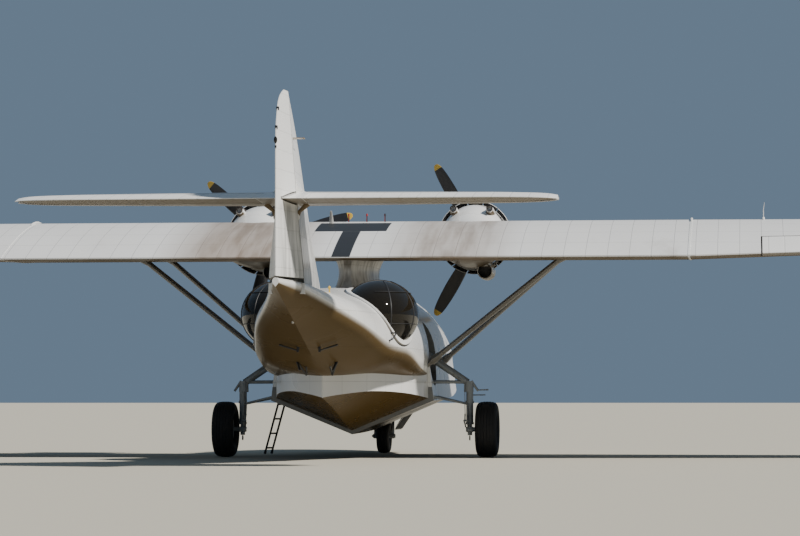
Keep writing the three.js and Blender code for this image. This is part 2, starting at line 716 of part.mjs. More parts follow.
function makeBlade() {
  return loft(bladeSections.map(([radius, chord, thickness, pitch]) => {
    const turn = THREE.MathUtils.degToRad(pitch);
    const sides = 8;
    return Array.from({ length: sides }, (_, i) => {
      const angle = (i / sides) * 2 * Math.PI;
      const [along, off] = [(chord / 2) * Math.cos(angle), (thickness / 2) * Math.sin(angle)];
      return new THREE.Vector3(
        radius,
        along * Math.sin(turn) + off * Math.cos(turn),
        along * Math.cos(turn) - off * Math.sin(turn),
      );
    });
  }));
}

// Both propellers turn the same way; the first blade's angle is measured up from starboard.
function makePropeller(side, firstBlade) {
  const hub = toSolid(turned([[0, -95], [95, -95], [120, -60], [120, 60], [75, 110], [60, 215], [0, 230]], 16));
  const blades = Array.from({ length: propeller.blades }, (_, i) => {
    const geometry = toGeometry(makeBlade());
    geometry.rotateY(-THREE.MathUtils.degToRad(firstBlade + (i * 360) / propeller.blades));
    return toSolid(geometry);
  });
  const whole = toGeometry(join(hub, ...blades));
  return toSolid(whole.translate(side * nacelle.x, propeller.y, nacelle.z));
}

// Landing gear
// A tyre's section as [distance from the wheel's middle over the width, radius over the tyre's].
function tyreProfile({ radius, width, rimRadius }) {
  const inner = rimRadius + seat;
  const depth = radius - inner;
  // Columns: half-width over the greatest, share of the depth.
  const flank = [[0.55, 0], [0.86, 0.2], [1, 0.5], [0.95, 0.75], [0.76, 0.92], [0.4, 0.99]];
  const half = flank.map(([w, d]) => [inner + d * depth, (w * width) / 2]);
  return [...half, [radius, 0], ...half.map(([r, w]) => [r, -w]).reverse(), half[0]];
}

function rimProfile({ width, rimRadius, axle }) {
  const half = width / 2;
  const bore = axle + 0.8;
  return [
    [bore, -half * 0.5], [95, -half * 0.5], [105, -30], [rimRadius - 38, -38], [rimRadius, -half * 0.62],
    [rimRadius, half * 0.62], [rimRadius - 38, 38], [105, 30], [95, half * 0.5], [bore, half * 0.5],
    [bore, -half * 0.5],
  ];
}

function onAxle(profile, wheel, x) {
  const geometry = turned(profile, wheel.segments).rotateZ(Math.PI / 2);
  return toSolid(geometry.translate(x, wheel.y, wheel.radius));
}

function makeMainLeg(side) {
  const at = (x, y, z) => [side * x, y, z];
  const { x, radius, topZ } = mainLeg;
  const wheelY = mainWheel.y;
  const parts = [
    bar(at(x, wheelY, 900), at(x, wheelY, topZ), radius, radius, 16),
    bar(at(x, wheelY, 460), at(x, wheelY, 950), 58),
    bar(at(x, wheelY, topZ - 60), at(x, wheelY, topZ + 70), 105, 80, 16),
    bar(at(wheelWell.backX + seat, wheelY, 2230), at(x, wheelY, topZ), 72),
    bar(at(x, wheelY, mainWheel.radius), at(mainWheel.x + 120, wheelY, mainWheel.radius), mainWheel.axle),
    bar(at(x, wheelY, mainWheel.radius - 60), at(x, wheelY, mainWheel.radius + 70), 85),
  ];
  for (const way of [-1, 1]) {
    parts.push(bar(at(wheelWell.backX + seat, wheelY + way * 190, 1560), at(x, wheelY, topZ - 10), 30));
    parts.push(bar(at(1480, wheelY + way * 420, 1250), at(x, wheelY, 1050), 32));
  }
  const well = bar(at(wheelWell.backX, wheelY, wheelWell.z), at(1800, wheelY, wheelWell.z),
    wheelWell.radius - seat, wheelWell.radius - seat, 24);
  return cut(join(...parts), cut(hullSeat, well));
}

function makeNoseLeg() {
  return join(
    bar([0, steering.y, steering.topZ + seat], [0, steering.y, noseWell.topZ - seat], 95, 110, 16),
    bar([0, steering.y, 1150], [0, noseWell.backY + 45, noseWell.topZ - 60], 45),
  );
}

function makeNoseFork() {
  const legX = noseWheel.width / 2 + 45;
  const parts = [
    bar([0, steering.y, steering.crownZ - 60], [0, steering.y, steering.topZ], 90, 90, 16),
    box([-legX - 35, legX + 35], [steering.y - 75, steering.y + 75], [steering.crownZ - 100, steering.crownZ]),
    bar([-legX - 60, noseWheel.y, noseWheel.radius], [legX + 60, noseWheel.y, noseWheel.radius], noseWheel.axle),
  ];
  for (const side of [-1, 1]) {
    parts.push(bar([side * legX, steering.y, steering.crownZ - 40],
      [side * legX, noseWheel.y, noseWheel.radius], 36, 40));
  }
  return join(...parts);
}

const noseDoor = { hingeX: 556, hingeZ: 838, edgeX: 290, edgeZ: 510, thickness: 14 };

function makeNoseDoor(side) {
  const run = new THREE.Vector2(noseDoor.edgeX - noseDoor.hingeX, noseDoor.edgeZ - noseDoor.hingeZ);
  const normal = new THREE.Vector2(run.y, -run.x).normalize().multiplyScalar(noseDoor.thickness);
  const ring = (y) => [
    [noseDoor.hingeX, noseDoor.hingeZ + 60],
    [noseDoor.edgeX, noseDoor.edgeZ],
    [noseDoor.edgeX - normal.x, noseDoor.edgeZ - normal.y],
    [noseDoor.hingeX - normal.x, noseDoor.hingeZ - normal.y + 60],
  ].map(([x, z]) => new THREE.Vector3(side * x, y, z));
  return cut(loft([ring(noseWell.backY + 10), ring(noseWell.frontY - 10)]), hullSeat);
}

// Bow turret, cockpit glass and crew seats
function makeTurret() {
  const { y, radius, ringZ, domeZ } = turret;
  const outer = [[radius, ringZ - 200], [radius, ringZ + 60], [radius * 0.93, ringZ + 190],
    [radius * 0.7, ringZ + 310], [radius * 0.35, domeZ - 15]];
  const profile = [...outer, [0, domeZ], [0, domeZ - 30],
    ...outer.map(([r, z]) => [r - 30, z - 20]).reverse(), outer[0]];
  const geometry = turned(profile, 20).rotateX(Math.PI / 2).translate(0, y, 0);
  return cut(toSolid(geometry), hullSeat);
}

function makeCockpitGlass() {
  const outer = hullLoft(foreBody, foreStations, -skin - seat);
  const inner = hullLoft(foreBody, foreStations, -skin - 12);
  const region = box(wide, [4900, 6760], [2560, 3600]);
  return cut(outer, inner).intersect(region);
}

function makeSeat(side) {
  const x = side * 520;
  return join(
    box([x - 240, x + 240], [5300, 5760], [2220, 2330]),
    box([x - 240, x + 240], [5240, 5330], [2220, 2960]),
    box([x - 160, x + 160], [5350, 5650], [cabin.floorZ + seat, 2260]),
  );
}

// The boarding ladder hangs at the port side, ahead of the step.
const ladder = {
  y: 2350, halfWidth: 170, turn: THREE.MathUtils.degToRad(15),
  highX: -1640, highZ: 1230, lowX: -1960, lowZ: 45, rungs: 4,
};

function makeLadder() {
  const at = (t, way) => [
    ladder.lowX + (ladder.highX - ladder.lowX) * t + way * ladder.halfWidth * Math.sin(ladder.turn),
    ladder.y + way * ladder.halfWidth * Math.cos(ladder.turn),
    ladder.lowZ + (ladder.highZ - ladder.lowZ) * t,
  ];
  const rails = [-1, 1].map((way) => bar(at(0, way), at(1.03, way), 22, 22, 8));
  const rungs = Array.from({ length: ladder.rungs }, (_, i) => {
    const t = (i + 0.4) / ladder.rungs;
    return bar(at(t, -1), at(t, 1), 17, 17, 8);
  });
  return cut(join(...rails, ...rungs), hullSeat);
}

// Assembly
const flyingBoat = new THREE.Group();

function add(name, solid, material) {
  const mesh = new THREE.Mesh(toGeometry(solid), material);
  mesh.name = name;
  flyingBoat.add(mesh);
}

const finWhole = cut(loft(finSections.map((row) => finRing(row))), rudderSpace());
const finSeat = loft(finSections.map((row) => finRing(row, seat)));
const sides = [['left', -1], ['right', 1]];

add('hull_bow', makeHullBow(), white);
add('hull_centre', makeHullCentre(), white);
add('hull_waist', makeHullWaist(), white);
add('hull_tail', hull.intersect(slab(bulkheads[3], bulkheads[4])), white);
add('fin', cut(finWhole, hullSeat), white);
add('rudder', makeRudder(), fabricWhite);
add('wing_centre', makeWingCentre(), white);
add('pylon', makePylon(), white);
add('bow_turret', makeTurret(), clear);
add('cockpit_glass', makeCockpitGlass(), clear);
add('nose_leg', makeNoseLeg(), gearGrey);
add('nose_fork', makeNoseFork(), gearGrey);
add('nose_rim', onAxle(rimProfile(noseWheel), noseWheel, 0), rimGrey);
add('nose_tyre', onAxle(tyreProfile(noseWheel), noseWheel, 0), tyreBlack);
add('ladder', makeLadder(), ladderBlack);
for (const [name, side] of sides) {
  add(`wing_outer_${name}`, makeWingOuter(side), white);
  add(`aileron_${name}`, makeAileron(side), fabricWhite);
  add(`float_${name}`, makeFloat(side), white);
  add(`tailplane_${name}`, makeTailplane(side, finSeat), white);
  add(`elevator_${name}`, makeElevator(side), fabricWhite);
  for (const [place, ...where] of struts) {
    add(`wing_strut_${place}_${name}`, makeStrut(side, ...where), white);
  }
  add(`nacelle_${name}`, makeNacelle(side), white);
  add(`oil_cooler_${name}`, makeCooler(side), gearGrey);
  add(`cowl_${name}`, makeCowl(side), white);
  add(`engine_${name}`, makeEngine(side), engineGrey);
  add(`propeller_${name}`, makePropeller(side, side > 0 ? 0 : 17), bladeBlack);
  add(`blister_${name}`, makeBlister(side), tinted);
  add(`main_leg_${name}`, makeMainLeg(side), gearGrey);
  add(`main_rim_${name}`, onAxle(rimProfile(mainWheel), mainWheel, side * mainWheel.x), rimGrey);
  add(`main_tyre_${name}`, onAxle(tyreProfile(mainWheel), mainWheel, side * mainWheel.x), tyreBlack);
  add(`nose_door_${name}`, makeNoseDoor(side), white);
  add(`crew_seat_${name}`, makeSeat(side), gearGrey);
}

export default flyingBoat;
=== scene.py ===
"""Looks for a parked twin-engined amphibian flying boat, in metres.

X points to starboard, Y to the nose and Z up, and the ground is at zero.
"""

import logging
from collections.abc import Callable, Iterable, Sequence
from dataclasses import dataclass
from enum import Enum
from math import cos, hypot, pi, radians, sin, sqrt, tan
from typing import Any

import bmesh
import bpy
from mathutils import Matrix, Vector


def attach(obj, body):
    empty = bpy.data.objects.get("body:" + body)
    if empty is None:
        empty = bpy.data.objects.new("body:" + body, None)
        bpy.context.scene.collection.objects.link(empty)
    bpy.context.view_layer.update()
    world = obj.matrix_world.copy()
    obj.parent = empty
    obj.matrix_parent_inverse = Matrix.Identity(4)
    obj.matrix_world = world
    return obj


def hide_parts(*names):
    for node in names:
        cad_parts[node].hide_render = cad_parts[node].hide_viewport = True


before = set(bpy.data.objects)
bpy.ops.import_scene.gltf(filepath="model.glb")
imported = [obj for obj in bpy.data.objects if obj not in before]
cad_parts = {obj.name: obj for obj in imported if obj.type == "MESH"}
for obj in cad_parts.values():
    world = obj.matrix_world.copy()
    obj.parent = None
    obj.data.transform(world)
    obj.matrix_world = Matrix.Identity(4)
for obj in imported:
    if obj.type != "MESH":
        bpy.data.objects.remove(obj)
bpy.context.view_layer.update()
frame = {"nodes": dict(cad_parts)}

log = logging.getLogger("flying_boat")

Colour = tuple[float, float, float]
Point = tuple[float, float, float]
Row = tuple[float, ...]
Outline = list[tuple[float, float]]
Table = tuple[Row, ...]
Ring = list[Vector]
Bar = tuple[Point, Point, float, float, int]
Socket = bpy.types.NodeSocket
Object = bpy.types.Object


class Body(Enum):
    """The moving bodies of the frame."""

    AIRFRAME = "airframe"
    RUDDER = "rudder_body"
    ELEVATORS = "elevators"
    AILERON_LEFT = "aileron_left_body"
    AILERON_RIGHT = "aileron_right_body"
    PROPELLER_LEFT = "propeller_left_body"
    PROPELLER_RIGHT = "propeller_right_body"
    MAIN_WHEEL_LEFT = "main_wheel_left"
    MAIN_WHEEL_RIGHT = "main_wheel_right"
    NOSE_STEERING = "nose_steering"
    NOSE_WHEEL = "nose_wheel"


class Slot(Enum):
    """The record's material slots."""

    WHITE = "white_paint"
    AFT_WHITE = "aft_white_paint"
    FABRIC = "doped_fabric"
    ENGINE = "engine_metal"
    BLADE = "blade_paint"
    CLEAR = "clear_glass"
    TINTED = "tinted_glass"
    SEAT = "seat_metal"
    GEAR = "gear_paint"
    ALLOY = "wheel_alloy"
    TYRE = "tyre_rubber"
    LADDER = "ladder_paint"


class Side(Enum):
    """Port and starboard, as the sign of X."""

    LEFT = -1
    RIGHT = 1

    @property
    def word(self) -> str:
        """The side's name in node names."""
        return self.name.lower()

    def body(self, part: str) -> Body:
        """The body of this side's moving part, such as AILERON."""
        return Body[f"{part}_{self.name}"]


class Axis(Enum):
    """A direction of the frame, as its place in a point."""

    X = 0
    Y = 1
    Z = 2


def spread(first: float, last: float, step: float) -> list[float]:
    """Gives evenly spaced values from first to last.

    Args:
        first: the first value.
        last: the last value.
        step: about how far apart the values lie.

    Returns:
        The values, both ends among them.
    """
    count = max(1, round(abs(last - first) / step))
    return [first + (last - first) * i / count for i in range(count + 1)]


def row_at(table: Sequence[Row], value: float) -> list[float]:
    """Reads a table at any value of its first column, along a smooth curve through its rows.

    Args:
        table: rows of numbers, in order of their first column.
        value: where to read it.

    Returns:
        The row at that value.
    """
    falling = table[0][0] > table[-1][0]
    place = next((i for i, row in enumerate(table) if (row[0] <= value) == falling), len(table) - 1)
    place = min(max(place, 1), len(table) - 1)
    before, start = table[max(place - 2, 0)], table[place - 1]
    end, after = table[place], table[min(place + 1, len(table) - 1)]
    run = end[0] - start[0]
    t = (value - start[0]) / run
    found = []
    for k, (a, b) in enumerate(zip(start, end)):
        slope_in = (b - before[k]) / (end[0] - before[0]) * run
        slope_out = (after[k] - a) / (after[0] - start[0]) * run
        found.append(a * (2 * t**3 - 3 * t**2 + 1) + slope_in * (t**3 - 2 * t**2 + t)
                     + b * (3 * t**2 - 2 * t**3) + slope_out * (t**3 - t**2))
    return found


def circle(count: int, shift: float = 0.0) -> list[float]:
    """Gives evenly spaced angles round a circle, which start at a share of a step."""
    return [2 * pi * (i + shift) / count for i in range(count)]


def quarter(steps: int) -> list[float]:
    """Gives evenly spaced angles from zero to a right angle."""
    return [pi / 2 * i / steps for i in range(steps + 1)]


def both_sides(half: Outline) -> Outline:
    """Closes half an outline with its mirror image, whose second numbers are negative."""
    return [*half, *((along, -off) for along, off in reversed(half[1:]))]


def level_ring(z: float, front: float, back: float, half: float, shares: Sequence[Row],
               fractions: Sequence[float]) -> Ring:
    """Gives a level section that is the same on both sides.

    Args:
        z: its height.
        front: y of its fore end.
        back: y of its aft end.
        half: its greatest half-width.
        shares: rows of a fraction of the length and the share of the half-width there.
        fractions: where its points lie.

    Returns:
        The ring.
    """
    right = [(front - f * (front - back), half * row_at(shares, f)[1]) for f in fractions]
    return [Vector((x, y, z)) for y, x in both_sides(right)]


def add_object(name: str, data: Any) -> Object:
    """Puts a new object with its data into the scene.

    Args:
        name: its name.
        data: its data.

    Returns:
        The object.
    """
    made = bpy.data.objects.new(name, data)
    bpy.context.scene.collection.objects.link(made)
    return made


class Nodes:
    """Adds nodes to a shader tree, each with its inputs already joined."""

    def __init__(self, tree: bpy.types.NodeTree) -> None:
        """Starts on a tree, which may already hold nodes."""
        self.tree = tree

    def join(self, node: bpy.types.Node, inputs: dict[Any, Any]) -> bpy.types.Node:
        """Gives a node its inputs, each a value or a socket, and gives the node back.

        Args:
            node: the node.
            inputs: the values or sockets, by the input's name.

        Returns:
            The node.
        """
        for name, value in inputs.items():
            if isinstance(value, Socket):
                self.tree.links.new(value, node.inputs[name])
            else:
                node.inputs[name].default_value = value
        return node

    def add(self, kind: str, inputs: dict[Any, Any] | None = None, **settings: Any) -> bpy.types.Node:
        """Adds one node.

        Args:
            kind: the node's type.
            inputs: a value or a socket for each input, by its name or place.
            settings: the node's own properties.

        Returns:
            The node.
        """
        node = self.tree.nodes.new(kind)
        for name, value in settings.items():
            setattr(node, name, value)
        return self.join(node, inputs or {})

    def math(self, operation: str, first: Any, second: Any = 0.0, clamp: bool = False) -> Socket:
        """Adds a Math node and gives its result."""
        return self.add("ShaderNodeMath", {0: first, 1: second}, operation=operation,
                        use_clamp=clamp).outputs[0]

    def vector(self, operation: str, first: Any, second: Any) -> Socket:
        """Adds a Vector Math node and gives its vector."""
        return self.add("ShaderNodeVectorMath", {0: first, 1: second}, operation=operation).outputs[0]

    def smooth(self, value: Any, low: Any, high: Any, start: float = 0.0, end: float = 1.0) -> Socket:
        """Goes smoothly from start to end as the value goes from low to high.

        Args:
            value: the value that is followed.
            low: where the change begins.
            high: where the change ends.
            start: the result at low and below.
            end: the result at high and above.

        Returns:
            The result.
        """
        return self.add("ShaderNodeMapRange", {"Value": value, "From Min": low, "From Max": high,
                                               "To Min": start, "To Max": end},
                        interpolation_type="SMOOTHSTEP").outputs[0]

    def blend(self, share: Any, first: Any, second: Any) -> Socket:
        """Mixes two colours by a share from 0 to 1.

        Args:
            share: how much of the second colour is taken.
            first: the colour at 0.
            second: the colour at 1.

        Returns:
            The result.
        """
        colours = [(*c, 1.0) if isinstance(c, tuple) else c for c in (first, second)]
        return self.add("ShaderNodeMix", {0: share, 6: colours[0], 7: colours[1]},
                        data_type="RGBA").outputs[2]

    def noise(self, vector: Any, scale: float, detail: float = 4.0) -> Socket:
        """Adds a Noise Texture and gives its value."""
        return self.add("ShaderNodeTexNoise", {"Vector": vector, "Scale": scale,
                                               "Detail": detail}).outputs["Fac"]

    def split(self, vector: Any) -> list[Socket]:
        """Gives the three numbers of a vector."""
        return list(self.add("ShaderNodeSeparateXYZ", {0: vector}).outputs)

    def group(self, tree: bpy.types.NodeTree, inputs: dict[str, Any]) -> Socket:
        """Places a node group, joins its inputs by name and gives its first output."""
        return self.add("ShaderNodeGroup", inputs, node_tree=tree).outputs[0]


def fresh_material(name: str) -> tuple[bpy.types.Material, Nodes, bpy.types.Node]:
    """Gives a new material, the builder of its tree and its shader.

    Args:
        name: the material's name.

    Returns:
        The material, the builder of its tree and its shader.
    """
    material = bpy.data.materials.new(name)
    material.use_nodes = True
    return material, Nodes(material.node_tree), material.node_tree.nodes["Principled BSDF"]


class Effects:
    """The shader node groups that the finishes share, each built once."""

    def __init__(self) -> None:
        """Builds every group."""
        self.box_mask = self._group("box_mask", "VVVF", ("Vector", "Low", "High", "Soft"),
                                    self._box_mask)
        self.seam = self._group("seam", "FFFF", ("Value", "Spacing", "Offset", "Width"), self._seam)
        self.rivets = self._group("rivets", "FFFFF", ("Along", "Across", "Pitch", "Row", "Radius"),
                                  self._rivets)
        self.dirt = self._group("dirt", "VVFF", ("Vector", "Stretch", "Scale", "Amount"), self._dirt)
        # The below group marks where the ground's reflection and shade are painted on faces that look
        # down.
        self.below = self._group("below", "VF", ("Normal", "Amount"), self._below)

    @staticmethod
    def _group(name: str, kinds: str, names: Sequence[str],
               fill: Callable[[Nodes, dict[str, Socket]], Socket]) -> bpy.types.NodeTree:
        """Builds one group with a single value as its output.

        Args:
            name: the group's name.
            kinds: a letter for each input, V for a vector and F for a number.
            names: the inputs' names.
            fill: adds the nodes and gives the socket of the result.

        Returns:
            The group's tree.
        """
        tree = bpy.data.node_groups.new(name, "ShaderNodeTree")
        sockets = {"V": "NodeSocketVector", "F": "NodeSocketFloat"}
        for kind, label in zip(kinds, names):
            tree.interface.new_socket(name=label, in_out="INPUT", socket_type=sockets[kind])
        tree.interface.new_socket(name="Mask", in_out="OUTPUT", socket_type="NodeSocketFloat")
        nodes = Nodes(tree)
        source = nodes.add("NodeGroupInput")
        result = fill(nodes, {label: source.outputs[label] for label in names})
        nodes.add("NodeGroupOutput", {0: result})
        return tree

    @staticmethod
    def _box_mask(nodes: Nodes, given: dict[str, Socket]) -> Socket:
        """One inside a box, fading to zero over the soft width at its faces.

        Args:
            nodes: the builder of the group's tree.
            given: the group's inputs, by name.

        Returns:
            The result.
        """
        above = nodes.vector("SUBTRACT", given["Vector"], given["Low"])
        under = nodes.vector("SUBTRACT", given["High"], given["Vector"])
        mask = None
        for reach in (*nodes.split(above), *nodes.split(under)):
            share = nodes.math("ADD", nodes.math("DIVIDE", reach, given["Soft"]), 0.5, clamp=True)
            mask = share if mask is None else nodes.math("MULTIPLY", mask, share)
        return mask

    @staticmethod
    def _seam(nodes: Nodes, given: dict[str, Socket]) -> Socket:
        """One on evenly spaced lines.

        Args:
            nodes: the builder of the group's tree.
            given: the group's inputs, by name.

        Returns:
            The result.
        """
        moved = nodes.math("SUBTRACT", given["Value"], given["Offset"])
        away = nodes.math("PINGPONG", moved, nodes.math("MULTIPLY", given["Spacing"], 0.5))
        inner = nodes.math("MULTIPLY", given["Width"], 0.4)
        return nodes.smooth(away, inner, given["Width"], 1.0, 0.0)

    @staticmethod
    def _rivets(nodes: Nodes, given: dict[str, Socket]) -> Socket:
        """One on rivet heads in a row beside a seam.

        Args:
            nodes: the builder of the group's tree.
            given: the group's inputs, by name.

        Returns:
            The result.
        """
        along = nodes.math("PINGPONG", given["Along"], nodes.math("MULTIPLY", given["Pitch"], 0.5))
        across = nodes.math("SUBTRACT", given["Across"], given["Row"])
        away = nodes.math("SQRT", nodes.math("ADD", nodes.math("MULTIPLY", along, along),
                                             nodes.math("MULTIPLY", across, across)))
        return nodes.smooth(away, nodes.math("MULTIPLY", given["Radius"], 0.5), given["Radius"],
                            1.0, 0.0)

    @staticmethod
    def _dirt(nodes: Nodes, given: dict[str, Socket]) -> Socket:
        """Cloudy dirt, drawn out along the directions with a small stretch value.

        Args:
            nodes: the builder of the group's tree.
            given: the group's inputs, by name.

        Returns:
            The result.
        """
        place = nodes.vector("MULTIPLY", given["Vector"], given["Stretch"])
        cloud = nodes.add("ShaderNodeTexNoise",
                          {"Vector": place, "Scale": given["Scale"], "Detail": 6.0,
                                                 "Roughness": 0.6}).outputs["Fac"]
        edge = nodes.math("SUBTRACT", 0.72, nodes.math("MULTIPLY", given["Amount"], 0.42))
        return nodes.smooth(cloud, edge, nodes.math("ADD", edge, 0.26))

    @staticmethod
    def _below(nodes: Nodes, given: dict[str, Socket]) -> Socket:
        """One on faces that look down, and zero on those that look up: the mask of the painted ground
        reflection and shade.
        """
        height = nodes.split(given["Normal"])[2]
        return nodes.math("MULTIPLY", nodes.smooth(height, -0.45, 0.02, 1.0, 0.0), given["Amount"])


effects = Effects()

WHOLE_SPECULAR = 0.5
COAT_ROUGHNESS = 0.12
BUMP_STRENGTH = 0.6
BUMP_DEPTH = 0.004
RIVET_ROW = 0.02
RIVET_RADIUS = 0.006


@dataclass(frozen=True)
class Mark:
    """A painted patch, such as soot, a walkway or a painted shadow: a box in the frame, with soft
    edges.
    """

    low: Point
    high: Point
    colour: Colour
    soft: float = 0.01
    strength: float = 1.0
    cloudy: float = 0.0
    stretch: Point = (1.0, 1.0, 1.0)


@dataclass(frozen=True)
class Seams:
    """Evenly spaced panel lines across one axis, with a row of rivets beside each."""

    axis: Axis
    spacing: float
    offset: float = 0.0
    width: float = 0.006
    pitch: float = 0.045


@dataclass(frozen=True)
class Paint:
    """A painted or doped skin with dirt, panel lines, rivets and marks, and the ground's reflection and
    shade painted brown on faces that look down.
    """

    name: str
    colour: Colour
    roughness: float = 0.4
    metallic: float = 0.0
    coat: float = 0.0
    dirt: float = 0.3
    dirt_scale: float = 1.2
    dirt_colour: Colour = (0.27, 0.22, 0.16)
    streak: Point = (1.0, 1.0, 1.0)
    seams: tuple[Seams, ...] = ()
    seam_dark: float = 0.45
    rivet_height: float = 0.35
    # The colour and strength of the ground's reflection and shade, painted on faces that look down.
    under_colour: Colour = (0.085, 0.050, 0.010)
    under: float = 0.0
    grain: float = 0.04
    grain_scale: float = 60.0
    marks: tuple[Mark, ...] = ()

    def build(self) -> bpy.types.Material:
        """Makes the material.

        Returns:
            The material, with every pattern in Object coordinates.
        """
        material, nodes, shader = fresh_material(self.name)
        place = nodes.add("ShaderNodeTexCoord")
        here = place.outputs["Object"]
        cloud = nodes.noise(here, 0.7, 3.0)
        colour = nodes.blend(nodes.smooth(cloud, 0.3, 0.7), self.colour,
                             tuple(0.93 * c for c in self.colour))
        dirt = nodes.group(effects.dirt, {"Vector": here, "Stretch": self.streak,
                                          "Scale": self.dirt_scale, "Amount": self.dirt})
        dirty = nodes.math("MULTIPLY", dirt, min(1.0, 0.25 + self.dirt))
        colour = nodes.blend(dirty, colour, self.dirt_colour)
        line, heads = self._lines(nodes, here)
        if line is not None:
            dark = tuple(0.35 * c for c in self.colour)
            colour = nodes.blend(nodes.math("MULTIPLY", line, self.seam_dark), colour, dark)
        nodes.join(shader, {"Coat Weight": self.coat})
        # Faces that look down get the ground's reflection and shade painted on in brown, with less coat
        # and gloss.
        if self.under > 0:
            below = nodes.group(effects.below, {"Normal": place.outputs["Normal"],
                                                "Amount": self.under})
            colour = nodes.blend(below, colour, self.under_colour)
            clean = nodes.math("SUBTRACT", 1.0, below)
            nodes.join(shader, {"Coat Weight": nodes.math("MULTIPLY", clean, self.coat),
                                "Specular IOR Level": nodes.math("MULTIPLY", clean, WHOLE_SPECULAR)})
        for mark in self.marks:
            colour = self._marked(nodes, here, colour, mark)
        fine = nodes.noise(here, self.grain_scale, 3.0)
        height = nodes.math("MULTIPLY", fine, self.grain)
        if line is not None:
            height = nodes.math("SUBTRACT", height, line)
            height = nodes.math("ADD", height, nodes.math("MULTIPLY", heads, self.rivet_height))
        bump = nodes.add("ShaderNodeBump", {"Strength": BUMP_STRENGTH, "Distance": BUMP_DEPTH,
                                              "Height": height})
        rough = nodes.math("ADD", nodes.math("MULTIPLY", dirty, 0.3),
                           nodes.smooth(cloud, 0.2, 0.8, self.roughness - 0.06, self.roughness + 0.06))
        nodes.join(shader, {"Metallic": self.metallic, "Coat Roughness": COAT_ROUGHNESS,
                            "Base Color": colour, "Roughness": rough, "Normal": bump.outputs[0]})
        return material

    def _lines(self, nodes: Nodes, here: Socket) -> tuple[Socket | None, Socket | None]:
        """Adds the panel lines and rivets.

        Args:
            nodes: the tree's builder.
            here: Object coordinates.

        Returns:
            The masks of the lines and of the rivet heads, or None for both.
        """
        line = heads = None
        axes = nodes.split(here)
        for seams in self.seams:
            value = axes[seams.axis.value]
            others = [axes[axis.value] for axis in Axis if axis is not seams.axis]
            mask = nodes.group(effects.seam, {"Value": value, "Spacing": seams.spacing,
                                              "Offset": seams.offset, "Width": seams.width})
            moved = nodes.math("SUBTRACT", value, seams.offset)
            across = nodes.math("PINGPONG", moved, seams.spacing / 2)
            along = nodes.math("ADD", others[0], others[1])
            dots = nodes.group(effects.rivets, {"Along": along, "Across": across, "Pitch": seams.pitch,
                                                "Row": RIVET_ROW, "Radius": RIVET_RADIUS})
            line = mask if line is None else nodes.math("MAXIMUM", line, mask)
            heads = dots if heads is None else nodes.math("MAXIMUM", heads, dots)
        return line, heads

    @staticmethod
    def _marked(nodes: Nodes, here: Socket, colour: Socket, mark: Mark) -> Socket:
        """Paints one mark over a colour.

        Args:
            nodes: the builder of the material's tree.
            here: the place on the piece.
            colour: the colour below the mark.
            mark: the mark.

        Returns:
            The result.
        """
        share = nodes.group(effects.box_mask, {"Vector": here, "Low": mark.low, "High": mark.high,
                                               "Soft": mark.soft})
        share = nodes.math("MULTIPLY", share, mark.strength)
        if mark.cloudy > 0:
            cloud = nodes.noise(nodes.vector("MULTIPLY", here, mark.stretch), 1.6, 6.0)
            share = nodes.math("MULTIPLY", share, nodes.smooth(cloud, 0.5 - 0.3 * mark.cloudy, 0.72))
        return nodes.blend(share, colour, mark.colour)


@dataclass(frozen=True)
class Glass:
    """Clear or smoked glazing."""

    name: str
    colour: Colour
    alpha: float = 0.35
    roughness: float = 0.04
    gloss: float = 0.6

    def build(self) -> bpy.types.Material:
        """Makes a see-through glossy material with a light film of dust.

        Returns:
            The material.
        """
        material, nodes, shader = fresh_material(self.name)
        here = nodes.add("ShaderNodeTexCoord").outputs["Object"]
        dust = nodes.group(effects.dirt, {"Vector": here, "Stretch": (1.0, 1.0, 1.0), "Scale": 2.5,
                                          "Amount": 0.3})
        colour = nodes.blend(nodes.math("MULTIPLY", dust, 0.25), self.colour,
                             tuple(0.5 * c + 0.2 for c in self.colour))
        rough = nodes.smooth(dust, 0.0, 1.0, self.roughness, self.roughness + 0.1)
        alpha = nodes.smooth(dust, 0.0, 1.0, self.alpha, min(1.0, self.alpha + 0.06))
        nodes.join(shader, {"Base Color": colour, "Roughness": rough, "Alpha": alpha,
                            "Specular IOR Level": self.gloss})
        return material


WHITE_TONE: Colour = (0.80, 0.795, 0.77)


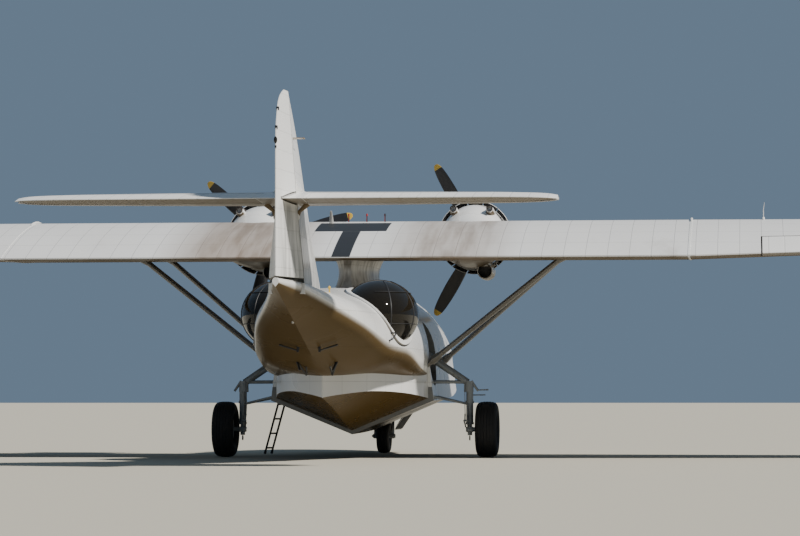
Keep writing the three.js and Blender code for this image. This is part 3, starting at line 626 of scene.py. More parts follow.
class Finishes:
    """Every finish of the aircraft, built when it is first asked for."""

    hull_seams = (Seams(Axis.Y, 0.72, 0.2), Seams(Axis.Z, 0.62, 0.25))
    skin = Paint("white_hull", WHITE_TONE, 0.3, coat=0.4, dirt=0.12, streak=(1.0, 1.0, 0.2),
                 seams=hull_seams, under=0.97,
                 marks=(Mark((-1.8, 0.51, 0.3), (1.8, 0.54, 1.4), (0.15, 0.15, 0.14)),))
    # The hull's bottom: the white hull's reflection of the ground and its shade painted brown, with
    # streaky dirt over it.
    bottom = Paint("stained_bottom", (0.17, 0.12, 0.05), 0.28, coat=0.2, dirt=0.45, dirt_scale=1.6,
                   streak=(1.0, 0.25, 1.0), dirt_colour=(0.10, 0.07, 0.03),
                   seams=(Seams(Axis.Y, 0.72, 0.2), Seams(Axis.X, 0.36, 0.0)), under=0.9)
    # The inside of the rooms and wells is a dark grey that paints their shade.
    inside = Paint("inner_grey", (0.17, 0.18, 0.18), 0.6, dirt=0.4, seams=hull_seams)
    # The lower starboard flank of the fin and rudder: the tailplane's shadow painted on in streaky
    # grey, together with dirt streaks.
    streaks = Mark((0.05, -9.8, 3.0), (0.6, -4.0, 4.45), (0.20, 0.205, 0.20), 0.12, 0.8, 0.9,
                   (5.0, 5.0, 0.5))
    fin = Paint("white_fin", WHITE_TONE, 0.35, coat=0.2, dirt=0.38, streak=(1.0, 1.0, 0.18),
                dirt_colour=(0.36, 0.35, 0.33), seams=(Seams(Axis.Z, 0.55, 0.1),), under=0.7,
                marks=(streaks,))
    tail = Paint("white_tailplane", WHITE_TONE, 0.35, coat=0.2, dirt=0.2, streak=(1.0, 0.3, 1.0),
                 seams=(Seams(Axis.X, 0.62, 0.31), Seams(Axis.Y, 0.55, 0.2)), under=0.8)
    fabric = Paint("white_fabric", WHITE_TONE, 0.55, dirt=0.16, streak=(1.0, 0.3, 1.0),
                   seams=(Seams(Axis.X, 0.31, 0.15, 0.016, 0.03),), seam_dark=0.18, under=0.8)
    rudder = Paint("white_rudder", WHITE_TONE, 0.5, dirt=0.25, streak=(1.0, 1.0, 0.25),
                   dirt_colour=(0.36, 0.36, 0.35), seams=(Seams(Axis.Z, 0.33, 0.05, 0.016, 0.03),),
                   seam_dark=0.15, under=0.5, marks=(streaks,))
    plain = Paint("white_parts", WHITE_TONE, 0.38, coat=0.2, dirt=0.3, under=0.6)
    # Brown fittings, such as the hinge brackets under the tailplane.
    brown_parts = Paint("brown_fittings", (0.20, 0.14, 0.07), 0.5, dirt=0.5, dirt_scale=6.0,
                    dirt_colour=(0.07, 0.045, 0.02))
    # The white struts are painted dark grey for the wing's shade on them.
    strut = Paint("struts_painted_shade", (0.20, 0.195, 0.18), 0.42, dirt=0.12, under=0.2, grain=0.005)
    gear = Paint("grey_gear", (0.25, 0.27, 0.28), 0.45, metallic=0.2, dirt=0.45,
                 dirt_colour=(0.10, 0.08, 0.06), dirt_scale=4.0)
    steel = Paint("bright_steel", (0.55, 0.55, 0.55), 0.2, metallic=1.0, dirt=0.2)
    dark = Paint("black_parts", (0.02, 0.02, 0.021), 0.5, dirt=0.25, dirt_colour=(0.08, 0.07, 0.06))
    ladder = Paint("black_ladder", (0.015, 0.015, 0.015), 0.45, dirt=0.3,
                   dirt_colour=(0.09, 0.08, 0.07), dirt_scale=5.0)
    rubber = Paint("tyre_rubber_dusty", (0.014, 0.014, 0.015), 0.8, dirt=0.4,
                   dirt_colour=(0.07, 0.062, 0.05), dirt_scale=3.0, grain=0.12)
    alloy = Paint("wheel_alloy_grey", (0.30, 0.31, 0.32), 0.4, metallic=0.6, dirt=0.4, dirt_scale=4.0)
    engine = Paint("engine_cast", (0.13, 0.13, 0.13), 0.5, metallic=0.5, dirt=0.5,
                   dirt_colour=(0.05, 0.04, 0.03), dirt_scale=5.0)
    fins = Paint("cylinder_fins", (0.10, 0.10, 0.105), 0.45, metallic=0.7, dirt=0.4, dirt_scale=6.0)
    blade = Paint("black_blades", (0.018, 0.018, 0.02), 0.4, dirt=0.25, dirt_colour=(0.1, 0.1, 0.1),
                  streak=(0.4, 1.0, 0.4), dirt_scale=3.0)
    yellow = Paint("yellow_tips", (0.62, 0.40, 0.05), 0.45, dirt=0.2)
    red = Paint("red_paint", (0.45, 0.03, 0.02), 0.4, dirt=0.15)
    seat = Paint("seat_green", (0.13, 0.15, 0.12), 0.6, dirt=0.3)
    pad = Paint("seat_leather", (0.09, 0.05, 0.03), 0.5, dirt=0.3, grain=0.3, grain_scale=140.0)
    smoked = Glass("smoked_glazing", (0.012, 0.010, 0.007), 0.90, gloss=0.3)
    clear = Glass("clear_glazing", (0.35, 0.42, 0.44), 0.3)

    walkway_black: Colour = (0.02, 0.02, 0.021)
    wing = Paint(
        "white_wing", (0.74, 0.735, 0.72), 0.45, dirt=0.30, dirt_scale=0.9,
        dirt_colour=(0.34, 0.31, 0.27), streak=(1.0, 0.35, 1.0), seam_dark=0.55, under=0.97,
        seams=(Seams(Axis.X, 0.42, 0.1, 0.008), Seams(Axis.Y, 0.78, 0.25, 0.008)),
        marks=(
            Mark((-3.2, -2.5, 3.0), (-0.9, 3.4, 5.6), (0.22, 0.14, 0.075), 1.1, 0.62, 0.0),
            Mark((-2.8, -2.5, 3.0), (-1.2, 3.4, 5.6), (0.14, 0.085, 0.04), 0.9, 0.6, 0.6,
                 (3.0, 0.25, 1.0)),
            Mark((1.1, -2.5, 3.0), (3.0, 3.4, 5.6), (0.22, 0.14, 0.075), 0.9, 0.42, 0.0),
            Mark((1.3, -2.5, 3.0), (2.8, 3.4, 5.6), (0.14, 0.085, 0.04), 0.8, 0.5, 0.6,
                 (3.0, 0.25, 1.0)),
            Mark((-0.18, -1.5, 3.9), (0.18, 0.45, 5.0), walkway_black),
            Mark((-0.75, 0.45, 4.2), (0.69, 1.5, 5.0), walkway_black),
        ),
    )

    nacelle = Paint("white_nacelle", WHITE_TONE, 0.38, coat=0.25, dirt=0.42, streak=(1.0, 0.3, 1.0),
                    dirt_colour=(0.30, 0.21, 0.12), seams=(Seams(Axis.Y, 0.55, 0.15),), under=0.92)
    cowl = Paint("white_cowl", WHITE_TONE, 0.35, coat=0.3, dirt=0.34, streak=(1.0, 0.5, 1.0),
                 dirt_colour=(0.30, 0.21, 0.12), seams=(Seams(Axis.Y, 0.26, 0.22),), under=0.85)
    burnt = Paint("burnt_steel", (0.035, 0.028, 0.024), 0.6, metallic=0.4, dirt=0.5,
                  dirt_colour=(0.11, 0.06, 0.035), dirt_scale=8.0)
    hub = Paint("propeller_hub", (0.06, 0.06, 0.062), 0.35, metallic=0.6, dirt=0.3, dirt_scale=8.0)
    frame = Paint("grey_frames", (0.50, 0.51, 0.50), 0.4, dirt=0.3, dirt_scale=6.0)
    panel = Paint("panel_grey", (0.055, 0.058, 0.055), 0.6, dirt=0.3, dirt_scale=5.0)
    door_inner = Paint("door_inner_grey", (0.10, 0.105, 0.105), 0.6, dirt=0.4, dirt_scale=3.0)
    outer_wing = Paint("white_outer_wing", (0.74, 0.735, 0.72), 0.45, dirt=0.26, dirt_scale=0.9,
                       dirt_colour=(0.34, 0.31, 0.27), streak=(1.0, 0.35, 1.0), seam_dark=0.5,
                       under=0.97,
                       seams=(Seams(Axis.X, 0.42, 0.1, 0.008), Seams(Axis.Y, 0.78, 0.25, 0.008)))
    # The pylon is white, with the wing's shade and the ground's reflection painted over most of it in
    # dark brown.
    pylon = Paint("white_pylon", WHITE_TONE, 0.38, coat=0.2, dirt=0.3, streak=(1.0, 1.0, 0.3),
                  seams=(Seams(Axis.Y, 0.6, 0.1), Seams(Axis.Z, 0.45, 0.2)), under=0.6,
                  marks=(Mark((-1.0, -1.0, 3.2), (1.0, 3.4, 4.1), (0.10, 0.088, 0.06), 0.25, 0.92, 0.4,
                              (4.0, 4.0, 0.7)),))

    def __init__(self) -> None:
        """Starts with no material built."""
        self._built: dict[str, bpy.types.Material] = {}

    def get(self, finish: Paint | Glass) -> bpy.types.Material:
        """Gives a finish's material, and builds it the first time.

        Args:
            finish: the finish.

        Returns:
            The material.
        """
        if finish.name not in self._built:
            self._built[finish.name] = finish.build()
        return self._built[finish.name]


finishes = Finishes()


class Shape:
    """A mesh in the making, with the operators that the pieces share."""

    def __init__(self) -> None:
        """Starts empty."""
        self.bm = bmesh.new()
        self.material = 0

    def _painted(self, before: int) -> None:
        """Gives the faces made since a count the current material.

        Args:
            before: the number of faces there were.
        """
        self.bm.faces.ensure_lookup_table()
        for face in self.bm.faces[before:]:
            face.material_index = self.material

    def loft(self, rings: Sequence[Ring], closed: bool = False,
             tint: Callable[[int, int], int] | None = None) -> None:
        """Extrudes the first ring's edges through each later one.

        Args:
            rings: closed rings, all with the same number of points.
            closed: whether the last ring joins the first; otherwise both ends are capped.
            tint: gives the material of a face from its place in the ring and along the row.
        """
        bm = self.bm
        before = len(bm.faces)
        loop = [bm.verts.new(point) for point in rings[0]]
        first = list(loop)
        edges = [bm.edges.new((a, b)) for a, b in zip(loop, loop[1:] + loop[:1])]
        for level, ring in enumerate(rings[1:]):
            made = bmesh.ops.extrude_edge_only(bm, edges=edges)["geom"]
            twins = {tuple(v.co): v for v in made if isinstance(v, bmesh.types.BMVert)}
            loop = [twins[tuple(v.co)] for v in loop]
            for vert, point in zip(loop, ring):
                vert.co = point
            edges = [bm.edges.get((a, b)) for a, b in zip(loop, loop[1:] + loop[:1])]
            for place, edge in enumerate(edges):
                edge.link_faces[0].material_index = tint(place, level) if tint else self.material
        if closed:
            bmesh.ops.remove_doubles(bm, verts=first + loop, dist=1e-5)
        else:
            for end in (first, loop):
                bm.faces.new(end).material_index = self.material
        if tint is None:
            self._painted(before)

    def tube(self, points: Sequence[Point], radius: float | Sequence[float], sides: int = 12,
             flat: float = 1.0) -> None:
        """Runs a round or flattened tube along a path.

        Args:
            points: the path.
            radius: one radius, or one for each point.
            sides: how many sides the tube has.
            flat: the tube's height over its width.
        """
        path = [Vector(p) for p in points]
        radii = [radius] * len(path) if isinstance(radius, (int, float)) else list(radius)
        ahead = [(b - a).normalized() for a, b in zip(path, path[1:])]
        along = [ahead[0]] + [(a + b).normalized() for a, b in zip(ahead, ahead[1:])] + [ahead[-1]]
        up = Vector((0, 0, 1)) if abs(along[0].z) < 0.9 else Vector((0, 1, 0))
        rings = []
        for at, way, size in zip(path, along, radii):
            across = way.cross(up).normalized()
            up = across.cross(way).normalized()
            rings.append([at + size * (cos(t) * across + flat * sin(t) * up)
                          for t in circle(sides)])
        self.loft(rings)

    def pipe(self, rows: Sequence[Row], at: Callable[..., Point] = lambda *point: point,
             sides: int = 12,
             flat: float = 1.0) -> None:
        """Runs a tube through a table of points, each with its radius, moved by a function."""
        self.tube([at(*row[:3]) for row in rows], [row[3] for row in rows], sides, flat)

    def bar(self, start: Point, end: Point, radius: float, end_radius: float | None = None,
            sides: int = 16) -> None:
        """Adds a capped round bar, which may taper.

        Args:
            start: the middle of its first end.
            end: the middle of its other end.
            radius: the radius at the first end.
            end_radius: the radius at the other end.
            sides: how many sides it has.
        """
        before = len(self.bm.faces)
        a, b = Vector(start), Vector(end)
        turn = (b - a).to_track_quat("Z", "Y").to_matrix().to_4x4()
        bmesh.ops.create_cone(self.bm, cap_ends=True, segments=sides, radius1=radius,
                              radius2=radius if end_radius is None else end_radius,
                              depth=(b - a).length, matrix=Matrix.Translation((a + b) / 2) @ turn)
        self._painted(before)

    def bars(self, rows: Iterable[Bar], at: Callable[..., Point] = lambda *point: point) -> None:
        """Adds a bar for each row of a table, with its two ends moved by a function."""
        for start, end, radius, end_radius, sides in rows:
            self.bar(at(*start), at(*end), radius, end_radius, sides)

    def hoop(self, radius: float, thick: float, centre: Point, axis: Axis, steps: int,
             along: float = 0.0) -> None:
        """Adds a round hoop about an axis, at a place along it."""
        profile = [(radius + thick * cos(t), along + thick * sin(t)) for t in circle(10)]
        self.spun(profile, centre, axis, steps, closed=True)

    def block(self, low: Point, high: Point, round_by: float = 0.0, turn: Matrix | None = None,
              segments: int = 2) -> None:
        """Adds a box, which may have rounded edges and be turned about its middle.

        Args:
            low: its lowest corner.
            high: its highest corner.
            round_by: how far its edges are rounded.
            turn: how it is turned about its middle.
            segments: how many steps a rounded edge has.
        """
        before = len(self.bm.faces)
        a, b = Vector(low), Vector(high)
        size = Matrix.Diagonal((*(b - a), 1.0))
        place = Matrix.Translation((a + b) / 2) @ (turn or Matrix.Identity(4)) @ size
        made = bmesh.ops.create_cube(self.bm, size=1.0, matrix=place)["verts"]
        if round_by > 0:
            edges = list({edge for vert in made for edge in vert.link_edges})
            bmesh.ops.bevel(self.bm, geom=edges, offset=round_by, segments=segments, affect="EDGES",
                            profile=0.5, material=-1)
        self._painted(before)

    def ball(self, centre: Point, size: Point, rings: int = 16) -> None:
        """Adds a ball with a half-size along each axis.

        Args:
            centre: its middle.
            size: its half-size along each axis.
            rings: how many rings it has.
        """
        before = len(self.bm.faces)
        place = Matrix.Translation(centre) @ Matrix.Diagonal((*size, 1.0))
        bmesh.ops.create_uvsphere(self.bm, u_segments=rings * 2, v_segments=rings, radius=1.0,
                                  matrix=place)
        self._painted(before)

    def spun(self, profile: Sequence[tuple[float, float]], centre: Point, axis: Axis, steps: int = 48,
             closed: bool = False, place: Matrix | None = None) -> None:
        """Spins a profile about an axis through a point.

        Args:
            profile: points as the distance from the axis and the place along it.
            centre: the point.
            axis: the direction of the axis.
            steps: how many sides the turned shape has.
            closed: whether the profile's last point joins its first.
            place: moves the turned shape to its place.
        """
        before = len(self.bm.faces)
        old = set(self.bm.verts)
        along, out = Vector((0, 0, 0)), Vector((0, 0, 0))
        along[axis.value] = 1.0
        out[(axis.value + 2) % 3] = 1.0
        verts = [self.bm.verts.new(Vector(centre) + out * r + along * h) for r, h in profile]
        pairs = list(zip(verts, verts[1:])) + ([(verts[-1], verts[0])] if closed else [])
        edges = [self.bm.edges.new(pair) for pair in pairs]
        bmesh.ops.spin(self.bm, geom=verts + edges, cent=centre, axis=along, angle=2 * pi,
                       steps=steps, use_merge=True)
        fresh = [vert for vert in self.bm.verts if vert not in old]
        bmesh.ops.remove_doubles(self.bm, verts=fresh, dist=1e-6)
        if place is not None:
            fresh = [vert for vert in self.bm.verts if vert not in old]
            bmesh.ops.transform(self.bm, matrix=place, verts=fresh)
        self._painted(before)

    def pillow(self, low: Point, high: Point, steps: int = 14) -> None:
        """Adds a cushion: crowned on both sides, with edges that pull in between its corners.

        Args:
            low: the lowest corner of its space.
            high: the highest corner.
            steps: how many parts each side has.
        """
        before = len(self.bm.faces)
        a, b = Vector(low), Vector(high)
        thin = min(range(3), key=lambda k: b[k] - a[k])
        old = set(self.bm.verts)
        made = bmesh.ops.create_cube(self.bm, size=2.0)["verts"]
        edges = list({edge for vert in made for edge in vert.link_edges})
        bmesh.ops.subdivide_edges(self.bm, edges=edges, cuts=steps, use_grid_fill=True)
        flat = [k for k in range(3) if k != thin]
        for vert in (vert for vert in self.bm.verts if vert not in old):
            u, v = vert.co[flat[0]], vert.co[flat[1]]
            crown = ((1 - abs(u) ** 3) * (1 - abs(v) ** 3)) ** 0.5
            vert.co[thin] *= 0.35 + 0.65 * crown
            vert.co[flat[0]] *= 1 - 0.035 * (1 - v * v)
            vert.co[flat[1]] *= 1 - 0.035 * (1 - u * u)
            vert.co = (a + b) / 2 + Vector(vert.co[k] * (b[k] - a[k]) / 2 for k in range(3))
        self._painted(before)

    def paint(self, material: int, test: Callable[[Vector], bool]) -> None:
        """Gives a material to the faces whose middle passes a test.

        Args:
            material: the material's number.
            test: says whether a face with this middle is painted.
        """
        for face in self.bm.faces:
            if test(face.calc_center_median()):
                face.material_index = material

    def piece(self, name: str, finish: Paint | Glass | Sequence[Paint | Glass]) -> Object:
        """Turns the mesh into an object with its finishes.

        Args:
            name: the piece's name.
            finish: one finish, or one for each material number.

        Returns:
            The object, at the origin.
        """
        bmesh.ops.recalc_face_normals(self.bm, faces=self.bm.faces[:])
        mesh = bpy.data.meshes.new(name)
        self.bm.to_mesh(mesh)
        self.bm.free()
        for each in finish if isinstance(finish, (list, tuple)) else [finish]:
            mesh.materials.append(finishes.get(each))
        return add_object(name, mesh)

    def place(self, name: str, finish: Paint | Glass | Sequence[Paint | Glass], slot: Slot,
              replaces: Sequence[str] = (), body: Body = Body.AIRFRAME, sharp: float = 34.0) -> Object:
        """Turns the mesh into a piece and settles it on its body."""
        return settle(self.piece(name, finish), slot, replaces, body, sharp)


def carve(target: Object, cutters: Iterable[Object], operation: str = "DIFFERENCE") -> Object:
    """Cuts, joins or intersects an object with others, which are then removed.

    Args:
        target: the object that changes.
        cutters: closed meshes with the same list of finishes.
        operation: the Boolean modifier's operation.

    Returns:
        The changed object.
    """
    tools = list(cutters)
    for tool in tools:
        target.modifiers.new("cut", "BOOLEAN").object = tool
        target.modifiers[-1].operation = operation
        target.modifiers[-1].solver = "EXACT"
    bpy.context.view_layer.update()
    graph = bpy.context.evaluated_depsgraph_get()
    changed = bpy.data.meshes.new_from_object(target.evaluated_get(graph))
    target.modifiers.clear()
    target.data = changed
    for tool in tools:
        bpy.data.objects.remove(tool)
    return target


def settle(piece: Object, slot: Slot, replaces: Sequence[str] = (), body: Body = Body.AIRFRAME,
           sharp: float = 34.0) -> Object:
    """Smooths a piece between its sharp edges, and puts it on its body.

    Args:
        piece: the object.
        slot: the record's slot of its finish; not used.
        replaces: the solids that it stands for.
        body: the body that it moves with.
        sharp: edges that turn by more than this, in degrees, stay sharp.

    Returns:
        The piece.
    """
    bm = bmesh.new()
    bm.from_mesh(piece.data)
    bmesh.ops.remove_doubles(bm, verts=bm.verts[:], dist=2e-5)
    bmesh.ops.dissolve_degenerate(bm, edges=bm.edges[:], dist=1e-5)
    for face in bm.faces:
        face.smooth = True
    for edge in bm.edges:
        edge.smooth = len(edge.link_faces) == 2 and edge.calc_face_angle(0.0) < radians(sharp)
    bm.to_mesh(piece.data)
    bm.free()
    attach(piece, body.value)
    if replaces:
        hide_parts(*replaces)
    log.info("%s: %d faces on %s", piece.name, len(piece.data.polygons), body.value)
    return piece


@dataclass
class Studio:
    """A plain pale floor, soft light and the camera at the photo's place."""

    camera_at: Point = (7.85, -62.0, 1.16)
    looks_along: Point = (-0.1096, 0.994, 0.0413)
    focal_pixels: float = 3173.0
    frame_pixels: float = 800.0
    sensor: float = 36.0
    view_end: float = 3000.0
    sun_from: Point = (1.0, -0.38, 1.0)
    sun_strength: float = 5.8
    sun_spread: float = 4.0
    sun_colour: Colour = (1.0, 0.96, 0.9)
    sky: Row = (0.30, 0.43, 0.60, 1.0)
    sky_strength: float = 0.45
    floor_colour: Row = (0.50, 0.47, 0.39, 1.0)
    floor_roughness: float = 0.95
    floor_radius: float = 900.0
    floor_sides: int = 64

    def build(self) -> None:
        """Makes the camera, the lights and the floor."""
        camera = add_object("camera", bpy.data.cameras.new("camera"))
        camera.data.sensor_width = self.sensor
        camera.data.lens = self.focal_pixels / self.frame_pixels * self.sensor
        camera.data.clip_end = self.view_end
        camera.location = self.camera_at
        camera.rotation_euler = Vector(self.looks_along).to_track_quat("-Z", "Y").to_euler()
        bpy.context.scene.camera = camera
        sun = add_object("key_light", bpy.data.lights.new("key_light", "SUN"))
        sun.data.energy = self.sun_strength
        sun.data.angle = radians(self.sun_spread)
        sun.data.color = self.sun_colour
        sun.rotation_euler = (-Vector(self.sun_from)).to_track_quat("-Z", "Y").to_euler()
        world = bpy.data.worlds.new("studio")
        world.use_nodes = True
        Nodes(world.node_tree).join(world.node_tree.nodes["Background"],
                                    {"Color": self.sky, "Strength": self.sky_strength})
        bpy.context.scene.world = world
        self._floor()

    def _floor(self) -> None:
        """Makes the pale floor."""
        bm = bmesh.new()
        bmesh.ops.create_circle(bm, cap_ends=True, segments=self.floor_sides, radius=self.floor_radius)
        mesh = bpy.data.meshes.new("floor")
        bm.to_mesh(mesh)
        bm.free()
        material, nodes, shader = fresh_material("pale_floor")
        nodes.join(shader, {"Base Color": self.floor_colour, "Roughness": self.floor_roughness,
                            "Specular IOR Level": 0.0})
        mesh.materials.append(material)
        floor = add_object("floor", mesh)


# Columns: y, keel z, chine half-width, chine z, side half-width, side z, deck z, roundness, and how
# far the chine is rounded, from 0 for a sharp one.
FORE_BODY: Table = (
    (9.735, 2.160, 0.060, 2.250, 0.070, 2.300, 2.420, 1.0, 0.0),
    (9.600, 1.740, 0.330, 2.120, 0.340, 2.260, 2.640, 1.0, 0.0),
    (9.250, 1.400, 0.690, 1.950, 0.680, 2.200, 2.790, 0.9, 0.0),
    (8.600, 1.080, 1.040, 1.760, 1.010, 2.150, 2.870, 0.85, 0.0),
    (7.800, 0.860, 1.290, 1.600, 1.230, 2.080, 2.930, 0.85, 0.0),
    (6.850, 0.690, 1.470, 1.450, 1.400, 2.000, 3.000, 0.9, 0.0),
    (6.100, 0.605, 1.560, 1.350, 1.480, 1.950, 3.470, 1.15, 0.0),
    (5.000, 0.545, 1.610, 1.250, 1.530, 1.900, 3.440, 1.05, 0.0),
    (4.300, 0.515, 1.620, 1.210, 1.545, 1.900, 3.300, 0.85, 0.0),
    (2.500, 0.480, 1.625, 1.160, 1.545, 1.900, 3.280, 0.85, 0.0),
    (0.520, 0.460, 1.625, 1.130, 1.540, 1.900, 3.280, 0.85, 0.0),
)
AFT_BODY: Table = (
    (0.700, 1.440, 1.500, 1.600, 1.540, 1.900, 3.280, 0.85, 0.2),
    (-1.000, 1.480, 1.510, 1.640, 1.545, 2.000, 3.280, 0.85, 0.5),
    (-2.500, 1.530, 1.420, 1.740, 1.465, 2.100, 3.260, 0.85, 1.0),
    (-3.900, 1.590, 1.200, 1.850, 1.260, 2.200, 3.120, 0.9, 1.0),
    (-5.500, 1.985, 0.960, 2.240, 1.000, 2.500, 3.110, 0.95, 1.0),
    (-7.000, 2.360, 0.570, 2.620, 0.600, 2.820, 3.130, 0.9, 1.0),
    (-8.500, 2.730, 0.250, 2.920, 0.270, 3.060, 3.180, 0.6, 1.0),
    (-9.735, 3.030, 0.050, 3.090, 0.055, 3.120, 3.185, 1, 0.5),
)
# Columns: y, half-width, bottom keel z, bottom edge z.
STEP_WEDGE: Table = (
    (0.600, 1.535, 0.525, 1.175),
    (-1.000, 1.240, 0.760, 1.275),
    (-2.500, 0.760, 1.000, 1.310),
    (-3.500, 0.250, 1.130, 1.240),
    (-3.880, 0.012, 1.180, 1.190),
)


@dataclass
class Hull:
    """The stepped boat hull, with its cockpit, waist bay, wheel wells and windows."""

    skin: float = 0.06
    bilge_steps: int = 8
    arc_steps: int = 14
    wedge_top: float = 1.90
    bulkheads: tuple[float, ...] = (9.835, 4.400, -1.400, -4.300, -9.835)
    names: tuple[str, ...] = ("hull_bow", "hull_centre", "hull_waist", "hull_tail")
    finish: tuple[Paint, ...] = (Finishes.skin, Finishes.bottom, Finishes.inside)
    cabin: Row = (4.700, 9.150, 1.950)
    waist: Row = (-4.150, -1.550, 2.000)
    nose_well: tuple[Point, Point] = ((-0.540, 5.520, 0.0), (0.540, 6.760, 1.500))
    # The main wheel wells' inner x, outer x, y, z and radius.
    main_well: Row = (1.120, 1.800, 1.130, 2.060, 0.630)
    turret_y: float = 8.250
    turret_radius: float = 0.370
    # Columns: x range, y range, z range.
    windows: tuple[tuple[Row, Row, Row], ...] = (
        ((-0.33, 0.33), (6.33, 6.70), (3.08, 3.33)),
        ((0.41, 0.90), (6.30, 6.66), (2.92, 3.23)),
        ((-0.90, -0.41), (6.30, 6.66), (2.92, 3.23)),
        ((0.70, 1.60), (5.72, 6.20), (2.60, 3.06)),
        ((-1.60, -0.70), (5.72, 6.20), (2.60, 3.06)),
        ((0.78, 1.60), (5.08, 5.62), (2.60, 3.02)),
        ((-1.60, -0.78), (5.08, 5.62), (2.60, 3.02)),
        ((0.09, 0.52), (5.20, 6.00), (3.20, 3.60)),
        ((-0.52, -0.09), (5.20, 6.00), (3.20, 3.60)),
        ((-0.23, 0.23), (9.25, 9.90), (2.06, 2.33)),
    )
    # The starboard rods under the aft body. Columns: start, end, radius, end radius, sides.
    rods: tuple[Bar, ...] = (
        ((0.19, -5.71, 2.12), (0.20, -5.72, 2.00), 0.026, 0.022, 12),
        ((0.36, -4.62, 1.83), (0.30, -4.72, 1.68), 0.024, 0.018, 10),
        ((0.36, -4.62, 1.83), (0.24, -4.30, 1.60), 0.024, 0.018, 10),
        ((0.22, -4.45, 1.76), (0.24, -4.30, 1.60), 0.018, 0.018, 10),
    )

    def ring(self, row: Sequence[float], y: float, grow: float) -> Ring:
        """Gives a section of the hull at y, moved outwards by grow.

        Args:
            row: the row of the table.
            y: where the section is.
            grow: how far it is moved outwards.

        Returns:
            The section's points.
        """
        _, keel, chine_half, chine_z, side_half, side_z, deck, roundness, rounding = row
        low, edge = Vector((0, y, keel - grow)), Vector((chine_half + grow, y, chine_z - grow / 2))
        side = Vector((side_half + grow, y, side_z))
        start, end = edge.lerp(low, 0.55 * rounding), edge.lerp(side, 0.9 * rounding)
        half = [low.lerp(start, 0.35), low.lerp(start, 0.7)]
        steps = self.bilge_steps if rounding else 0
        for t in (i / max(steps, 1) for i in range(steps + 1)):
            half.append(start.lerp(edge, t).lerp(edge.lerp(end, t), t))
        half += [end.lerp(side, 0.5), side]
        for angle in quarter(self.arc_steps)[1:-1]:
            half.append(Vector((side.x * cos(angle) ** roundness, y,
                                side_z + (deck + grow - side_z) * sin(angle) ** roundness)))
        mirrored = [Vector((-p.x, p.y, p.z)) for p in reversed(half)]
        return [low, *half, Vector((0, y, deck + grow)), *mirrored]

    def body(self, table: Sequence[Row], first: float, last: float, grow: float = 0.0,
             inner: bool = False) -> Object:
        """Makes one of the hull's two bodies as a closed solid.

        Args:
            table: the body's sections.
            first: y of its fore end.
            last: y of its aft end.
            grow: how far it stands out of the hull's surface.
            inner: whether its faces have the inner finish.

        Returns:
            The solid.
        """
        shape = Shape()
        count = len(self.ring(table[0], 0.0, 0.0))
        # The fore body's bottom faces take the finish with the ground's reflection and shade painted
        # on.
        under = set(range(3)) | set(range(count - 3, count)) if table is FORE_BODY else set()
        shape.material = 2 if inner else 0
        shape.loft([self.ring(row_at(table, y), y, grow) for y in self.stations(first, last)],
                   tint=lambda place, _: 2 if inner else int(place in under))
        return shape.piece("hull_body", self.finish)

    @staticmethod
    def stations(first: float, last: float) -> list[float]:
        """Gives the y of each section, close together at the bow."""
        bow = [y for y in (9.735, 9.72, 9.69, 9.65, 9.60, 9.54, 9.47, 9.39, 9.30) if last < y <= first]
        return bow + spread(bow[-1] - 0.1 if bow else first, last, 0.12)

    def wedge(self) -> Object:
        """Makes the narrowing bottom behind the step.

        Returns:
            The solid.
        """
        shape = Shape()
        shape.material = 0
        rings = []
        for y in spread(STEP_WEDGE[0][0], STEP_WEDGE[-1][0], 0.16):
            _, half, keel, edge = row_at(STEP_WEDGE, y)
            bottom = [(half * i / 4, keel + (edge - keel) * i / 4) for i in range(5)]
            right = bottom + [(half, self.wedge_top)]
            outline = right + [(-x, z) for x, z in reversed(right[1:])]
            rings.append([Vector((x, y, z)) for x, z in outline])
        # The wedge's bottom faces take the finish with the ground's reflection and shade painted on.
        shape.loft(rings, tint=lambda place, _: int(place < 4 or place > 6))
        return shape.piece("hull_wedge", self.finish)

    def cutter(self, fill: Callable[[Shape], None]) -> Object:
        """Makes a solid with the inner finish, which cuts the hull.

        Args:
            fill: the shape that it is made from.

        Returns:
            The solid.
        """
        shape = Shape()
        shape.material = 2
        fill(shape)
        return shape.piece("hull_cutter", self.finish)

    def room(self, table: Sequence[Row], back: float, front: float, floor: float) -> Object:
        """Makes the space inside a hollow part of the hull, above its floor.

        Args:
            table: the sections of this part of the hull.
            back: y of its rear end.
            front: y of its front end.
            floor: z of the floor.

        Returns:
            The solid.
        """
        space = self.body(table, front, back, -self.skin, inner=True)
        above = self.cutter(lambda s: s.block((-3, back - 1, floor), (3, front + 1, 5)))
        return carve(space, [above], "INTERSECT")

    def build(self) -> None:
        """Makes the hull, cuts it and parts it at its bulkheads."""
        whole = self.body(FORE_BODY, 9.735, 0.52)
        carve(whole, [self.body(AFT_BODY, 0.70, -9.735), self.wedge()], "UNION")
        carve(whole, [self.room(FORE_BODY, *self.cabin), self.room(AFT_BODY, *self.waist)])
        inner, outer, y, z, radius = self.main_well
        wells = [self.cutter(lambda s, sign=side.value: s.bar(
            (sign * inner, y, z), (sign * outer, y, z), radius, sides=64)) for side in Side]
        nose = self.cutter(lambda s: s.block(*self.nose_well, 0.04))
        slots = [self.cutter(lambda s, w=w: s.block(*zip(*w), 0.05, segments=4)) for w in self.windows]
        top = self.cutter(lambda s: s.bar((0, self.turret_y, 2.5), (0, self.turret_y, 3.2),
                                          self.turret_radius, sides=48))
        eggs = [self.cutter(lambda s, side=side: Blister().egg(s, side, 0.085)) for side in Side]
        carve(whole, [*wells, nose, *slots, top, *eggs])
        for name, front, back in zip(self.names, self.bulkheads, self.bulkheads[1:]):
            part = add_object(f"{name}_skin", whole.data.copy())
            slab = self.cutter(lambda s, f=front, b=back: s.block((-3, b, -1), (3, f, 7)))
            slot = Slot.WHITE if front > 0 else Slot.AFT_WHITE
            settle(carve(part, [slab], "INTERSECT"), slot, [name], sharp=28.0)
        bpy.data.objects.remove(whole)
        self._fittings()

